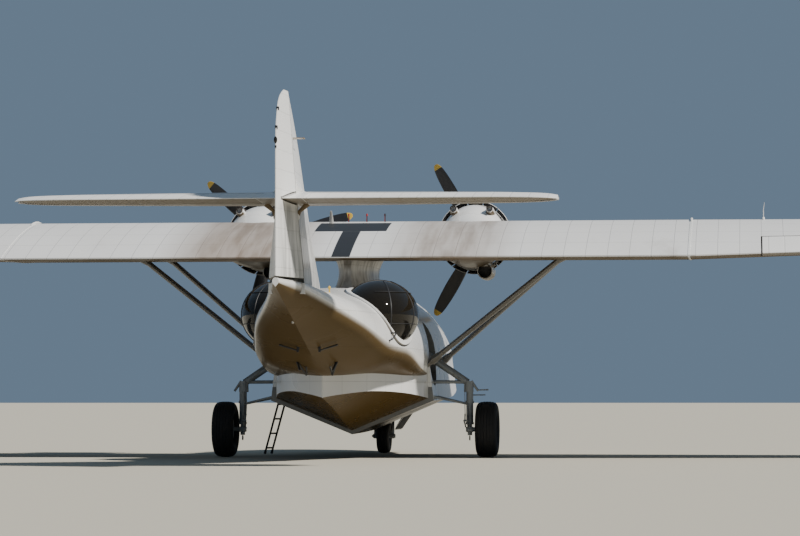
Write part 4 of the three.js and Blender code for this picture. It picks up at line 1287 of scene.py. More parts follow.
    def _fittings(self) -> None:
        """Makes the handle, the light, the drain rods and the towing lugs on the aft body."""
        parts = Shape()
        parts.tube([(1.24, -3.98, 2.23), (1.31, -3.98, 2.26), (1.35, -3.90, 2.33), (1.36, -3.80, 2.37),
                    (1.33, -3.78, 2.38), (1.25, -3.80, 2.38)], 0.014, 10)
        for side in Side:
            at = (lambda x, y, z, sign=side.value: (sign * x, y, z))
            parts.tube([at(0.17, -5.70, 2.10), at(0.20, -5.72, 2.03), at(0.53, -5.76, 2.13)], 0.019, 10)
            parts.bars(self.rods, at)
        parts.material = 1
        parts.ball((-0.03, -7.484, 2.492), (0.022, 0.07, 0.030), 12)
        parts.material = 2
        parts.bar((0.45, -6.30, 2.98), (0.45, -6.30, 3.12), 0.016, 0.012, 12)
        parts.ball((0.45, -6.30, 3.13), (0.024, 0.024, 0.035), 12)
        parts.place("hull_fittings", (Finishes.dark, Finishes.plain, Finishes.yellow), Slot.AFT_WHITE)


@dataclass
class Blister:
    """A smoked side blister with its frames."""

    x: float = 0.930
    y: float = -2.800
    z: float = 2.740
    half: Point = (0.740, 1.180, 0.660)
    wall: float = 0.012
    frame_radius: float = 0.012
    sunk: float = 0.020
    beside: tuple[float, float] = (-1.200, -4.600)
    wide: tuple[float, float] = (-1.000, -4.800)
    # Columns: name, how far its inner and its outer face are shrunk, rise off the hull, finish.
    collars: tuple[tuple[str, float, float, float, Paint], ...] = (
        ("lip", 0.004, -0.070, 0.030, Finishes.plain),
        ("seam", -0.070, -0.086, 0.005, Finishes.dark),
    )

    def egg(self, shape: Shape, side: Side, shrink: float) -> None:
        """Adds the blister's form to a shape, made smaller by shrink."""
        size = tuple(h - shrink for h in self.half)
        shape.ball((side.value * self.x, self.y, self.z), size, 32)

    def point(self, side: Side, around: float, up: float, out: float = 0.004) -> Point:
        """Gives a point of the surface.

        Args:
            side: which blister.
            around: the angle in the level plane from straight out, towards the nose.
            up: the angle above that plane.
            out: how far it stands off the surface.

        Returns:
            The point.
        """
        x, y, z = (h + out for h in self.half)
        return (side.value * (self.x + x * cos(around) * cos(up)),
                self.y + y * sin(around) * cos(up), self.z + z * sin(up))

    def grown(self, side: Side, shrink: float, name: str, finish: Paint | Glass) -> Object:
        """Makes the blister's form as a solid, made smaller by shrink.

        Args:
            side: the side it is on.
            shrink: how far it is made smaller.
            name: the solid's name.
            finish: its finish.

        Returns:
            The solid.
        """
        shape = Shape()
        self.egg(shape, side, shrink)
        return shape.piece(name, finish)

    def hull(self, grow: float = 0.0) -> Object:
        """Makes the hull beside the blisters as a solid, moved outwards by grow."""
        return Hull().body(AFT_BODY, *self.beside, grow)

    def build(self) -> None:
        """Makes the glass, the frames and the collars of both blisters."""
        for side in Side:
            glass = self.grown(side, 0.0, f"blister_glass_{side.word}", Finishes.smoked)
            carve(glass, [self.grown(side, self.wall, "inner", Finishes.smoked)])
            settle(carve(glass, [self.hull()]), Slot.TINTED, [f"blister_{side.word}"])
            self._frames(side)
            for name, inner, outer, rise, finish in self.collars:
                collar = self.grown(side, outer, f"blister_{name}_{side.word}", finish)
                carve(collar, [self.hull(rise)], "INTERSECT")
                carve(collar, [self.grown(side, inner, "inner", finish)])
                carve(collar, [Hull().body(AFT_BODY, *self.wide, -self.sunk)])
                settle(collar, Slot.AFT_WHITE)

    def _frames(self, side: Side) -> None:
        """Makes the frames that run up and along the glass.

        Args:
            side: the side it is on.
        """
        arcs = [[(around, up) for up in range(-60, 75, 5)] for around in (-62, -20, 24, 64)]
        arcs += [[(around, up) for around in range(-88, 89, 4)] for up in (-16, 38)]
        frames = Shape()
        for arc in arcs:
            frames.tube([self.point(side, radians(around), radians(up)) for around, up in arc],
                        self.frame_radius, 8, 0.5)
        made = frames.piece(f"blister_frames_{side.word}", Finishes.dark)
        settle(carve(made, [self.hull(-self.sunk)]), Slot.AFT_WHITE)


def section_point(fraction: float, thickness: float, camber: float, upper: bool) -> float:
    """Gives a wing section's offset from its chord line, over the chord.

    Args:
        fraction: how far aft of the nose, over the chord.
        thickness: the section's thickness over its chord.
        camber: the height of its middle line over its chord.
        upper: whether the point is on the upper side.

    Returns:
        The offset, positive upwards.
    """
    half = thickness / 0.2 * (0.2969 * sqrt(fraction) - 0.126 * fraction - 0.3516 * fraction**2
                              + 0.2843 * fraction**3 - 0.1005 * fraction**4)
    crest = 0.3
    if fraction < crest:
        line = camber / crest**2 * (2 * crest * fraction - fraction**2)
    else:
        line = camber / (1 - crest)**2 * (1 - 2 * crest + 2 * crest * fraction - fraction**2)
    return line + (half if upper else -half)


def chord_steps(count: int = 26) -> list[float]:
    """Gives fractions of a chord, close together at both ends."""
    return [(1 - cos(pi * i / count)) / 2 for i in range(count + 1)]


def hinged_profile(nose: float, length: float, edge: float, steps: int = 14) -> Outline:
    """Gives a hinged surface's section: a half-round nose and flat flanks.

    Args:
        nose: the radius of the nose.
        length: the way from the hinge to the trailing edge.
        edge: half the thickness of the trailing edge.
        steps: how many parts the nose has.

    Returns:
        Points as the place aft of the hinge and the place off its plane.
    """
    angles = [pi / 2 + pi * i / steps for i in range(steps + 1)]
    return [*((nose * cos(t), nose * sin(t)) for t in angles), (length, -edge), (length, edge)]


def hinged_space(nose: float, length: float, reach: float) -> Outline:
    """Gives the space for a hinged surface: its nose, and all that is aft of its hinge."""
    nose_points = hinged_profile(nose, length, 0.0)[:-2]
    return [*nose_points, (0.0, -reach), (length, -reach), (length, reach), (0.0, reach)]


def stand(hinge: Vector, edge: Vector, shape: Callable[[float], Outline]) -> Ring:
    """Stands a flat shape on a hinge, with its length towards the trailing edge.

    Args:
        hinge: a point of the hinge's line.
        edge: the trailing edge's point at the same X.
        shape: gives the flat shape for a length.

    Returns:
        The ring.
    """
    back = edge - hinge
    length = back.length
    back.normalize()
    up = Vector((0, back.z, -back.y))
    return [hinge + back * aft + up * off for aft, off in shape(length)]


@dataclass
class Wing:
    """The wing's centre, outer panels and ailerons, with the floats folded up as its tips."""

    chord: float = 4.570
    incidence: float = radians(6)
    trailing: tuple[float, float] = (-1.320, 3.893)
    thickness: float = 0.17
    camber: float = 0.03
    centre_half: float = 6.700
    outer_half: float = 14.900
    tip_chord: float = 3.000
    dihedral: float = tan(radians(1.2))
    straight: float = 0.35
    hinge: float = 0.76
    hinge_gap: float = 0.010
    aileron: tuple[float, float] = (8.100, 14.450)
    end_gap: float = 0.030
    edge_half: float = 0.007
    # Columns: x, chord over the tip chord, shift of the middle forward, thickness over the wing's.
    floats: Table = (
        (14.900, 1.10, 0.060, 1.00),
        (15.150, 1.07, 0.060, 1.10),
        (15.450, 0.96, 0.060, 0.95),
        (15.700, 0.74, 0.060, 0.62),
        (15.850, 0.42, 0.060, 0.20),
    )
    # The bulge over each outer panel's joint. Columns: fraction of the chord, radius.
    bulge: Table = ((0.2, 0.012), (0.25, 0.024), (0.3, 0.028), (0.35, 0.024), (0.4, 0.012))
    # The red posts on the crest. Columns: start, end, radius, end radius, sides, all from the foot.
    post: Bar = ((0, 0, -0.02), (0, 0, 0.12), 0.014, 0.012, 12)
    cap: Bar = ((0, 0, 0.12), (0, 0, 0.165), 0.020, 0.016, 12)
    post_xs: Row = (-0.60, -0.23, 0.14, 0.51)
    # The aerials. Columns: x, y, z, radius, from the foot.
    mast: Table = ((0, 0, 0, 0.045), (0, -0.03, 0.12, 0.035), (0, -0.08, 0.24, 0.018))
    whip: Table = ((0, 0, 0, 0.009), (0, -0.02, 0.2, 0.007), (0.02, -0.05, 0.34, 0.004))
    whip_foot: Bar = ((0, 0, 0), (0, 0, 0.05), 0.03, 0.02, 12)

    def at(self, x: float) -> tuple[float, float, float]:
        """Gives the chord at x, and y and z of its trailing edge.

        Args:
            x: the place along the span.

        Returns:
            The chord, and y and z of the trailing edge.
        """
        out = max(abs(x) - self.centre_half, 0.0)
        chord = self.chord + (self.tip_chord - self.chord) * out / (self.outer_half - self.centre_half)
        aft = (1 - self.straight) * (self.chord - chord)
        return (chord, self.trailing[0] + aft * cos(self.incidence),
                self.trailing[1] + aft * sin(self.incidence) + out * self.dihedral)

    def point(self, x: float, fraction: float, offset: float) -> Vector:
        """Gives a point at a fraction of the chord aft, and an offset over the chord.

        Args:
            x: the place along the span.
            fraction: how far aft of the leading edge it is, over the chord.
            offset: how far off the chord it is, over the chord.

        Returns:
            The point.
        """
        chord, y, z = self.at(x)
        up, ahead = sin(self.incidence), cos(self.incidence)
        along = (1 - fraction) * chord
        return Vector((x, y + along * ahead - offset * chord * up,
                       z + along * up + offset * chord * ahead))

    def surface(self, x: float, fraction: float, upper: bool = True, grow: float = 0.0) -> Vector:
        """Gives a point of the wing's skin, moved outwards by grow.

        Args:
            x: the place along the span.
            fraction: how far aft of the leading edge it is, over the chord.
            upper: whether it is on the upper side.
            grow: how far it is moved outwards.

        Returns:
            The point.
        """
        more = grow / self.at(x)[0]
        offset = section_point(fraction, self.thickness, self.camber, upper)
        return self.point(x, fraction, offset + (more if upper else -more))

    def ring(self, x: float, grow: float = 0.0) -> Ring:
        """Gives the wing's section at x.

        Args:
            x: the place along the span.
            grow: how far it is moved outwards.

        Returns:
            The section's points.
        """
        steps = chord_steps()
        upper = [self.surface(x, f, True, grow) for f in steps]
        return upper + [self.surface(x, f, False, grow) for f in reversed(steps[1:])]

    def hinged(self, x: float, shape: Callable[[float, float], Outline]) -> Ring:
        """Stands a shape on the aileron's hinge, from the radius of its nose and its length.

        Args:
            x: the place along the span.
            shape: gives the section.

        Returns:
            The section's points.
        """
        top, low = (section_point(self.hinge, self.thickness, self.camber, up) for up in (True, False))
        half = self.at(x)[0] * (top - low) / 2
        hinge = self.point(x, self.hinge, (top + low) / 2)
        return stand(hinge, self.point(x, 1.0, 0.0), lambda length: shape(half, length))

    def build(self) -> None:
        """Makes the panels, the ailerons, the tips and what stands on the wing."""
        centre = Shape()
        centre.loft([self.ring(x) for x in spread(-self.centre_half, self.centre_half, 0.67)])
        centre.place("wing_centre_skin", Finishes.wing, Slot.WHITE, ["wing_centre"])
        for side in Side:
            self._outer(side)
            self._tip(side)
        strips = Shape()
        for side in Side:
            middle = side.value * self.centre_half
            strips.loft([self.ring(middle + off, 0.008) for off in (-0.02, 0.02)])
            strips.tube([self.surface(middle, f, True, 0.02) for f, _ in self.bulge],
                        [radius for _, radius in self.bulge], 12)
        strips.place("wing_joint_strips", Finishes.plain, Slot.WHITE)
        self._posts()

    def _outer(self, side: Side) -> None:
        """Makes one outer panel with its aileron.

        Args:
            side: the side it is on.
        """
        sign = side.value
        panel = Shape()
        panel.loft([self.ring(sign * x) for x in spread(self.centre_half, self.outer_half, 0.6)])
        made = panel.piece(f"wing_outer_{side.word}_skin", Finishes.outer_wing)
        gap = Shape()
        first, last = self.aileron
        gap.loft([self.hinged(sign * x, lambda half, length: hinged_space(
            half + self.hinge_gap, length + 0.2, 0.5))
            for x in (first - self.end_gap, last + self.end_gap)])
        carve(made, [gap.piece("gap", Finishes.outer_wing)])
        settle(made, Slot.WHITE, [f"wing_outer_{side.word}"])
        blade = Shape()
        blade.loft([self.hinged(sign * x, lambda half, length: hinged_profile(
            half, length, self.edge_half)) for x in spread(first, last, 0.55)])
        blade.place(f"aileron_{side.word}_skin", Finishes.fabric, Slot.FABRIC, [f"aileron_{side.word}"],
                    body=side.body("AILERON"))

    def _tip(self, side: Side) -> None:
        """Makes the float, folded up against its wing.

        Args:
            side: the side it is on.
        """
        chord, y, z = self.at(self.outer_half)
        middle = Vector((0, y + chord / 2, z + 0.19))
        section = self.ring(self.outer_half)
        rings = []
        for x in spread(self.floats[0][0], self.floats[-1][0], 0.05):
            _, share, forward, depth = row_at(self.floats, x)
            rise = (x - self.outer_half) * self.dihedral
            rings.append([Vector((side.value * x, middle.y + forward + (p.y - middle.y) * share,
                                  middle.z + rise + (p.z - middle.z) * depth)) for p in section])
        tip = Shape()
        tip.loft(rings)
        tip.place(f"float_{side.word}_skin", Finishes.plain, Slot.WHITE, [f"float_{side.word}"],
                  sharp=60.0)

    def stood(self, x: float, fraction: float) -> Callable[..., Vector]:
        """Gives the function that moves a point to stand on the wing's upper side."""
        foot = self.surface(x, fraction)
        return lambda *point: foot + Vector(point)

    def _posts(self) -> None:
        """Makes the red posts and the aerials on the crest."""
        posts = Shape()
        for x in self.post_xs:
            for material, bar in enumerate((self.post, self.cap)):
                posts.material = material
                posts.bars([bar], self.stood(x, 0.3))
        posts.place("crest_posts", (Finishes.red, Finishes.dark), Slot.WHITE)
        aerials = Shape()
        aerials.pipe(self.mast, self.stood(-0.55, 0.36), 12, 0.3)
        aerials.bars([self.whip_foot], self.stood(8.13, 0.3))
        aerials.pipe(self.whip, self.stood(8.13, 0.3), 8)
        aerials.place("wing_antennas", Finishes.plain, Slot.WHITE)


# Columns: z, leading edge y, half-thickness at the rudder's hinge.
FIN: Table = (
    (2.950, -4.200, 0.310),
    (3.150, -4.330, 0.300),
    (3.350, -4.560, 0.290),
    (3.550, -4.850, 0.272),
    (3.950, -5.380, 0.232),
    (4.400, -5.880, 0.190),
    (4.870, -6.400, 0.150),
    (5.570, -7.160, 0.092),
    (6.130, -7.920, 0.052),
    (6.330, -8.280, 0.038),
    (6.430, -8.440, 0.022),
)
# Columns: z, trailing edge y.
RUDDER_EDGE: Table = (
    (3.215, -9.735),
    (4.000, -9.735),
    (4.700, -9.735),
    (5.300, -9.735),
    (5.700, -9.690),
    (6.070, -9.510),
    (6.190, -9.390),
    (6.310, -9.170),
    (6.410, -8.830),
)
# Columns: x, leading edge y, trailing edge y.
TAILPLANE: Table = (
    (0.000, -7.250, -9.370),
    (3.500, -7.700, -9.350),
    (4.150, -7.860, -9.260),
    (4.480, -8.080, -9.100),
    (4.650, -8.400, -8.850),
)


@dataclass
class Tail:
    """The fin, the rudder, the tailplane and the elevators, with their fittings."""

    rudder_y: float = -8.500
    rudder_bottom: float = 3.215
    rudder_gap: float = 0.017
    rudder_edge: float = 0.008
    notch_gap: float = 0.027
    notch_back: float = -9.455
    elevator_y: float = -8.560
    elevator_z: float = 4.577
    elevator_gap: float = 0.017
    elevator_edge: float = 0.006
    chord_z: float = 4.530
    rise: float = 0.035
    thickness: float = 0.115
    camber: float = 0.012
    fixed_half: float = 0.395
    end_gap: float = 0.012
    # Columns: fraction of the fin's length, share of its half-width.
    fin_shares: Table = ((0.0, 0.0), (0.03, 0.12), (0.12, 0.26), (0.28, 0.47), (0.6, 0.75),
                                   (1.0, 1.0))
    fin_fractions: Row = (0.0, 0.006, 0.02, 0.045, 0.08, 0.12, 0.18, 0.26, 0.36, 0.48, 0.65, 0.82, 1.0)
    # Columns: start, end, radius, end radius, sides.
    probe: tuple[Bar, ...] = (
        ((0.06, -8.30, 5.62), (0.29, -8.30, 5.62), 0.018, 0.012, 12),
        ((0.27, -8.38, 5.62), (0.27, -8.16, 5.62), 0.012, 0.007, 12),
    )
    bracket_foot: tuple[Bar, ...] = (((0.17, -8.46, 4.26), (0.17, -8.38, 4.26), 0.06, 0.05, 16),)
    # Columns: x, y, z, radius.
    bracket: Table = ((0.17, -8.44, 4.24, 0.045), (0.221, -8.44, 4.36, 0.03),
                                (0.36, -8.42, 4.49, 0.05))
    # Blocks on the rudder's edge; the light is at the last one. Columns: z, lowest and highest corner
    # from the edge there, rounding, material.
    edge_blocks: tuple[tuple[float, Point, Point, float, int], ...] = (
        (6.03, (-0.022, -0.004, -0.03), (0.022, 0.05, 0.03), 0.006, 0),
        (5.70, (-0.022, -0.004, -0.03), (0.022, 0.05, 0.03), 0.006, 0),
        (5.48, (-0.014, -0.020, -0.13), (0.014, 0.02, -0.09), 0.005, 1),
    )
    fillet_from: float = -7.320
    fillet_to: float = -8.300

    @staticmethod
    def fin_row(z: float) -> list[float]:
        """Reads the fin's table at any height."""
        return row_at(FIN, min(max(z, FIN[0][0]), FIN[-1][0]))

    def fin_ring(self, z: float) -> Ring:
        """Gives the fin's section at z."""
        _, leading, half = self.fin_row(z)
        return level_ring(z, leading, self.rudder_y, half, self.fin_shares, self.fin_fractions)

    def upright(self, z: float, flat: Outline) -> Ring:
        """Stands a flat shape on the rudder's hinge at z."""
        return [Vector((off, self.rudder_y - aft, z)) for aft, off in flat]

    def tail_point(self, row: Sequence[float], fraction: float, upper: bool,
                   grow: float = 0.0) -> Vector:
        """Gives a point of the tailplane's skin in a row of its table, moved outwards by grow.

        Args:
            row: the row of the table.
            fraction: how far aft of the leading edge it is, over the chord.
            upper: whether it is on the upper side.
            grow: how far it is moved outwards.

        Returns:
            The point.
        """
        x, leading, trailing = row
        chord = leading - trailing
        offset = (1 - fraction) * self.rise + section_point(fraction, self.thickness,
                                                            self.camber, upper)
        return Vector((x, leading - fraction * chord, self.chord_z + offset * chord
                       + (grow if upper else -grow)))

    def tail_ring(self, x: float, side: int = 1, grow: float = 0.0) -> Ring:
        """Gives the tailplane's section at x.

        Args:
            x: the place along the span.
            side: the sign of its side.
            grow: how far it is moved outwards.

        Returns:
            The section's points.
        """
        steps = chord_steps(20)
        row = row_at(TAILPLANE, x)
        ring = [self.tail_point(row, f, True, grow) for f in steps]
        ring += [self.tail_point(row, f, False, grow) for f in reversed(steps[1:])]
        return [Vector((side * p.x, p.y, p.z)) for p in ring]

    def elevator_ring(self, x: float, side: int,
                      shape: Callable[[float, float], Outline]) -> Ring:
        """Stands a shape on the elevator's hinge, from the radius of its nose and its length.

        Args:
            x: the place along the span.
            side: the sign of its side.
            shape: gives the section.

        Returns:
            The section's points.
        """
        _, leading, trailing = row_at(TAILPLANE, x)
        fraction = (leading - self.elevator_y) / (leading - trailing)
        thick = section_point(fraction, self.thickness, self.camber, True) \
            - section_point(fraction, self.thickness, self.camber, False)
        half = (leading - trailing) * thick / 2
        hinge = Vector((side * x, self.elevator_y, self.elevator_z))
        return stand(hinge, Vector((side * x, trailing, self.chord_z)),
                     lambda length: shape(half, length))

    def build(self) -> None:
        """Makes the tail's surfaces and fittings."""
        self._fin()
        self._rudder()
        for side in Side:
            self._tailplane(side)
        self._fittings()

    def _fin(self) -> None:
        """Makes the fin, hollowed for the rudder's nose."""
        fin = Shape()
        fin.loft([self.fin_ring(z) for z in spread(FIN[0][0], FIN[-1][0], 0.07)])
        made = fin.piece("fin_skin", Finishes.fin)
        space = Shape()
        space.loft([self.upright(z, hinged_space(self.fin_row(z)[2] + self.rudder_gap, 1.6, 0.7))
                    for z in spread(self.rudder_bottom - 0.08, 6.6, 0.09)])
        carve(made, [space.piece("space", Finishes.fin)])
        settle(made, Slot.AFT_WHITE, ["fin"])

    def _rudder(self) -> None:
        """Makes the rudder, notched round the tailplane's middle."""
        blade = Shape()
        blade.loft([self.upright(z, hinged_profile(
            self.fin_row(z)[2], self.rudder_y - row_at(RUDDER_EDGE, z)[1], self.rudder_edge))
            for z in spread(self.rudder_bottom, RUDDER_EDGE[-1][0], 0.06)])
        made = blade.piece("rudder_skin", Finishes.rudder)
        notch = Shape()
        notch.loft([self.tail_ring(x, 1, self.notch_gap) for x in (-0.6, 0.6)])
        behind = Shape()
        behind.block((-0.6, self.notch_back, self.chord_z - self.notch_gap),
                     (0.6, -9.20, self.chord_z + self.notch_gap))
        carve(made, [notch.piece("notch", Finishes.rudder), behind.piece("behind", Finishes.rudder)])
        settle(made, Slot.FABRIC, ["rudder"], body=Body.RUDDER)

    def _tailplane(self, side: Side) -> None:
        """Makes one tailplane with its elevator.

        Args:
            side: the side it is on.
        """
        sign = side.value
        first, last = self.fixed_half, TAILPLANE[-1][0] - 0.01
        xs = spread(0.0, 3.5, 0.5) + spread(3.5, TAILPLANE[-1][0], 0.06)[1:]
        plane = Shape()
        plane.loft([self.tail_ring(x, sign) for x in xs])
        made = plane.piece(f"tailplane_{side.word}_skin", Finishes.tail)
        outline = [x for x in xs if first < x < last]
        gap = Shape()
        gap.loft([self.elevator_ring(x, sign, lambda half, length: hinged_space(
            half + self.elevator_gap, length + 0.2, 0.4))
            for x in (first - self.end_gap, *outline, TAILPLANE[-1][0] + 0.002)])
        carve(made, [gap.piece("gap", Finishes.tail)])
        settle(made, Slot.AFT_WHITE, [f"tailplane_{side.word}"])
        blade = Shape()
        blade.loft([self.elevator_ring(x, sign, lambda half, length: hinged_profile(
            half, length, self.elevator_edge)) for x in (first, *outline, last)])
        blade.place(f"elevator_{side.word}_skin", Finishes.fabric, Slot.FABRIC,
                    [f"elevator_{side.word}"],
                    body=Body.ELEVATORS)

    def _fillet(self, sign: int, y: float) -> Ring:
        """Gives the section of the fillet on the tailplane beside the fin.

        Args:
            sign: the sign of its side.
            y: where the section is.

        Returns:
            The section's points.
        """
        _, leading, trailing = row_at(TAILPLANE, 0.2)
        foot = self.tail_point((0.2, leading, trailing), (leading - y) / (leading - trailing), True).z
        size = min(1.0, (-7.10 - y) / 0.4)
        arc = [(0.15 * size * (1 - sin(t)), 0.36 * size * (1 - cos(t))) for t in quarter(6)]
        ring = []
        for out, up in [(-0.03, -0.03), *arc, (-0.03, 0.36 * size)]:
            _, leading, half = self.fin_row(foot + max(up, 0.0))
            flank = half * min(max((leading - y) / (leading - self.rudder_y), 0.0), 1.0) * 0.95
            ring.append(Vector((sign * (flank + out), y, foot + up)))
        return ring

    def _fittings(self) -> None:
        """Makes the tail's light, probe, hinge brackets and edge fittings."""
        parts = Shape()
        parts.bars(self.probe)
        parts.material = 1
        for side in Side:
            at = (lambda x, y, z, sign=side.value: (sign * x, y, z))
            parts.pipe(self.bracket, at, 10, 0.5)
            parts.bars(self.bracket_foot, at)
        parts.material = 0
        for sign in (-1, 1):
            parts.loft([self._fillet(sign, y) for y in spread(self.fillet_from, self.fillet_to, 0.08)])
        parts.place("tail_fittings", (Finishes.plain, Finishes.brown_parts), Slot.AFT_WHITE)
        edge = Shape()
        for z, low, high, round_by, material in self.edge_blocks:
            y = row_at(RUDDER_EDGE, z)[1]
            edge.material = material
            edge.block((low[0], y + low[1], z + low[2]), (high[0], y + high[1], z + high[2]), round_by)
        edge.ball((0.0, y - 0.02, z), (0.030, 0.045, 0.060), 10)
        edge.place("rudder_edge_fittings", (Finishes.dark, Finishes.smoked), Slot.FABRIC,
                   body=Body.RUDDER)


# Columns: z, trailing edge y, leading edge y, half-width.
PYLON: Table = (
    (3.050, -0.420, 3.250, 0.560),
    (3.300, -0.330, 3.150, 0.470),
    (3.500, -0.200, 3.000, 0.380),
    (3.700, -0.170, 2.950, 0.350),
    (3.900, -0.260, 3.000, 0.400),
    (4.150, -0.500, 3.100, 0.560),
)
# Columns: fraction of the pylon's length, share of its half-width.
PYLON_SHARES: Table = ((0.0, 0.0), (0.02, 0.35), (0.1, 0.75), (0.25, 1.0), (0.6, 0.95),
                                 (0.85, 0.62), (1.0, 0.2))
PYLON_FRACTIONS: Row = (0.0, 0.005, 0.02, 0.05, 0.1, 0.16, 0.25, 0.4, 0.6, 0.73, 0.85, 0.94, 1.0)
# Columns: place along a strut's chord from -0.5 to 0.5, share of its half-depth.
STRUT_SHARES: Table = ((-0.5, 0.0), (-0.4, 0.7), (-0.2, 1.0), (0.1, 0.9), (0.35, 0.5),
                                 (0.5, 0.08))
STRUT_PLACES: Row = (-0.5, -0.49, -0.46, -0.4, -0.3, -0.2, -0.05, 0.1, 0.22, 0.35, 0.43, 0.5)


@dataclass
class Support:
    """The pylon and the wing struts."""

    low: tuple[float, float] = (1.480, 1.812)
    chord: float = 0.230
    depth: float = 0.105
    # Columns: name, y, x of its upper end, z of its upper end.
    struts: tuple[tuple[str, float, float, float], ...] = (
        ("front", 2.560, 4.200, 4.170),
        ("rear", 0.360, 4.310, 4.050),
    )
    # The cuffs at both ends. Columns: place along the strut, how far the section grows.
    cuffs: tuple[Table, ...] = (
        ((0.04, 0.05), (0.07, 0.05), (0.10, 0.02), (0.105, 0.0)),
        ((0.97, 0.09), (0.94, 0.04), (0.92, 0.012), (0.915, 0.0)),
    )

    @staticmethod
    def pylon_ring(z: float) -> Ring:
        """Gives the pylon's section at z."""
        _, back, front, half = row_at(PYLON, z)
        return level_ring(z, front, back, half, PYLON_SHARES, PYLON_FRACTIONS)

    def strut_ring(self, start: Vector, run: Vector, t: float, grow: float = 0.0) -> Ring:
        """Gives a strut's streamlined section, from t = 0 at the hull to 1 at the wing.

        Args:
            start: the strut's lower end.
            run: the way from there to its upper end.
            t: the place along it.
            grow: how far the section grows.

        Returns:
            The section's points.
        """
        across = run.cross(Vector((0, 1, 0))).normalized()
        half = [(aft, max(row_at(STRUT_SHARES, aft)[1], 0.0)) for aft in STRUT_PLACES]
        return [start + run * t + across * (h * (self.depth + grow) / 2)
                + Vector((0, -aft * (self.chord + grow), 0)) for aft, h in both_sides(half)]

    def build(self) -> None:
        """Makes the pylon and the four struts."""
        pylon = Shape()
        pylon.loft([self.pylon_ring(z) for z in spread(PYLON[0][0], PYLON[-1][0], 0.05)])
        pylon.place("pylon_skin", Finishes.pylon, Slot.WHITE, ["pylon"])
        for side in Side:
            for name, y, high_x, high_z in self.struts:
                start = Vector((side.value * self.low[0], y, self.low[1]))
                run = Vector((side.value * high_x, y, high_z)) - start
                strut = Shape()
                strut.loft([self.strut_ring(start, run, t) for t in spread(0.0, 1.0, 0.05)])
                for cuff in self.cuffs:
                    strut.loft([self.strut_ring(start, run, t, grow) for t, grow in cuff])
                strut.place(f"wing_strut_{name}_{side.word}_skin", Finishes.strut, Slot.WHITE,
                            [f"wing_strut_{name}_{side.word}"])


# Columns: y, centre z, half-width, half-height.
NACELLE: Table = (
    (3.400, 4.500, 0.610, 0.610),
    (3.050, 4.500, 0.655, 0.655),
    (2.600, 4.440, 0.655, 0.600),
    (2.100, 4.340, 0.620, 0.500),
    (1.500, 4.270, 0.540, 0.420),
    (0.800, 4.200, 0.400, 0.360),
    (0.100, 4.120, 0.190, 0.250),
    (-0.350, 4.050, 0.040, 0.110),
)
# Columns: radius, chord, thickness, pitch in degrees.
BLADE: Table = (
    (0.060, 0.110, 0.110, 60.0),
    (0.330, 0.150, 0.105, 55.0),
    (0.620, 0.265, 0.060, 42.0),
    (1.050, 0.300, 0.036, 31.0),
    (1.450, 0.265, 0.024, 25.0),
    (1.720, 0.190, 0.016, 22.0),
    (1.815, 0.095, 0.010, 21.0),
    (1.830, 0.030, 0.006, 21.0),
)
# Columns: radius, y.
ENGINE_CASE: Table = (
    (0.0, 3.402), (0.43, 3.402), (0.43, 3.47), (0.415, 3.485), (0.335, 3.50), (0.33, 3.86),
    (0.30, 3.90),
    (0.245, 3.96), (0.235, 4.02), (0.195, 4.09), (0.12, 4.14), (0.11, 4.168), (0.0, 4.168),
)
EXHAUST: Table = (
    (0.0, 2.56), (0.050, 2.55), (0.052, 2.375), (0.058, 2.368), (0.064, 2.38), (0.066, 2.60),
    (0.062, 2.98),
    (0.0, 2.99),
)
OIL_DUCT: Table = (
    (0.0, 2.745), (0.133, 2.745), (0.140, 2.485), (0.149, 2.476), (0.157, 2.482), (0.168, 2.75),
    (0.171, 3.00), (0.168, 3.18), (0.156, 3.225), (0.143, 3.23), (0.132, 3.20), (0.126, 3.08),
    (0.0, 3.08),
)
# Columns: radius, y from the propeller.
HUB: Table = (
    (0.0, -0.095), (0.088, -0.095), (0.095, -0.088), (0.118, -0.062), (0.122, 0.0), (0.118, 0.06),
    (0.10, 0.085), (0.078, 0.105), (0.074, 0.165), (0.066, 0.20), (0.045, 0.222), (0.0, 0.228),
)
# A cowl flap's section. Columns: radius over the cowl's, y from its back.
FLAP: Table = (
    (0.009, -0.008), (0.045, -0.12), (0.076, -0.24), (0.066, -0.242), (0.034, -0.12), (-0.004, -0.01),
)
# Columns: x from the pipe, y, z, radius.
EXHAUST_FAIRING: Table = (
    (0, 2.46, 5.03, 0.069), (0, 2.52, 5.02, 0.082), (0, 2.66, 4.99, 0.088), (0, 2.95, 4.955, 0.08),
    (0, 3.25, 4.93, 0.03),
)
# Columns: x from the duct, y, z, radius.
DUCT_DOOR: Table = ((0.13, 2.56, 3.86, 0.045), (0.19, 2.55, 3.885, 0.03),
                              (0.245, 2.54, 3.90, 0.004))
# One cylinder's push rods and lead. Columns: start, end, radius, end radius, sides.
CYLINDER_RODS: tuple[Bar, ...] = (
    ((-0.05, 0.10, 0.30), (-0.045, 0.055, 0.585), 0.010, 0.009, 8),
    ((0.05, 0.10, 0.30), (0.045, 0.055, 0.585), 0.010, 0.009, 8),
    ((0.0, 0.12, 0.26), (0.0, 0.09, 0.47), 0.007, 0.007, 6),
)


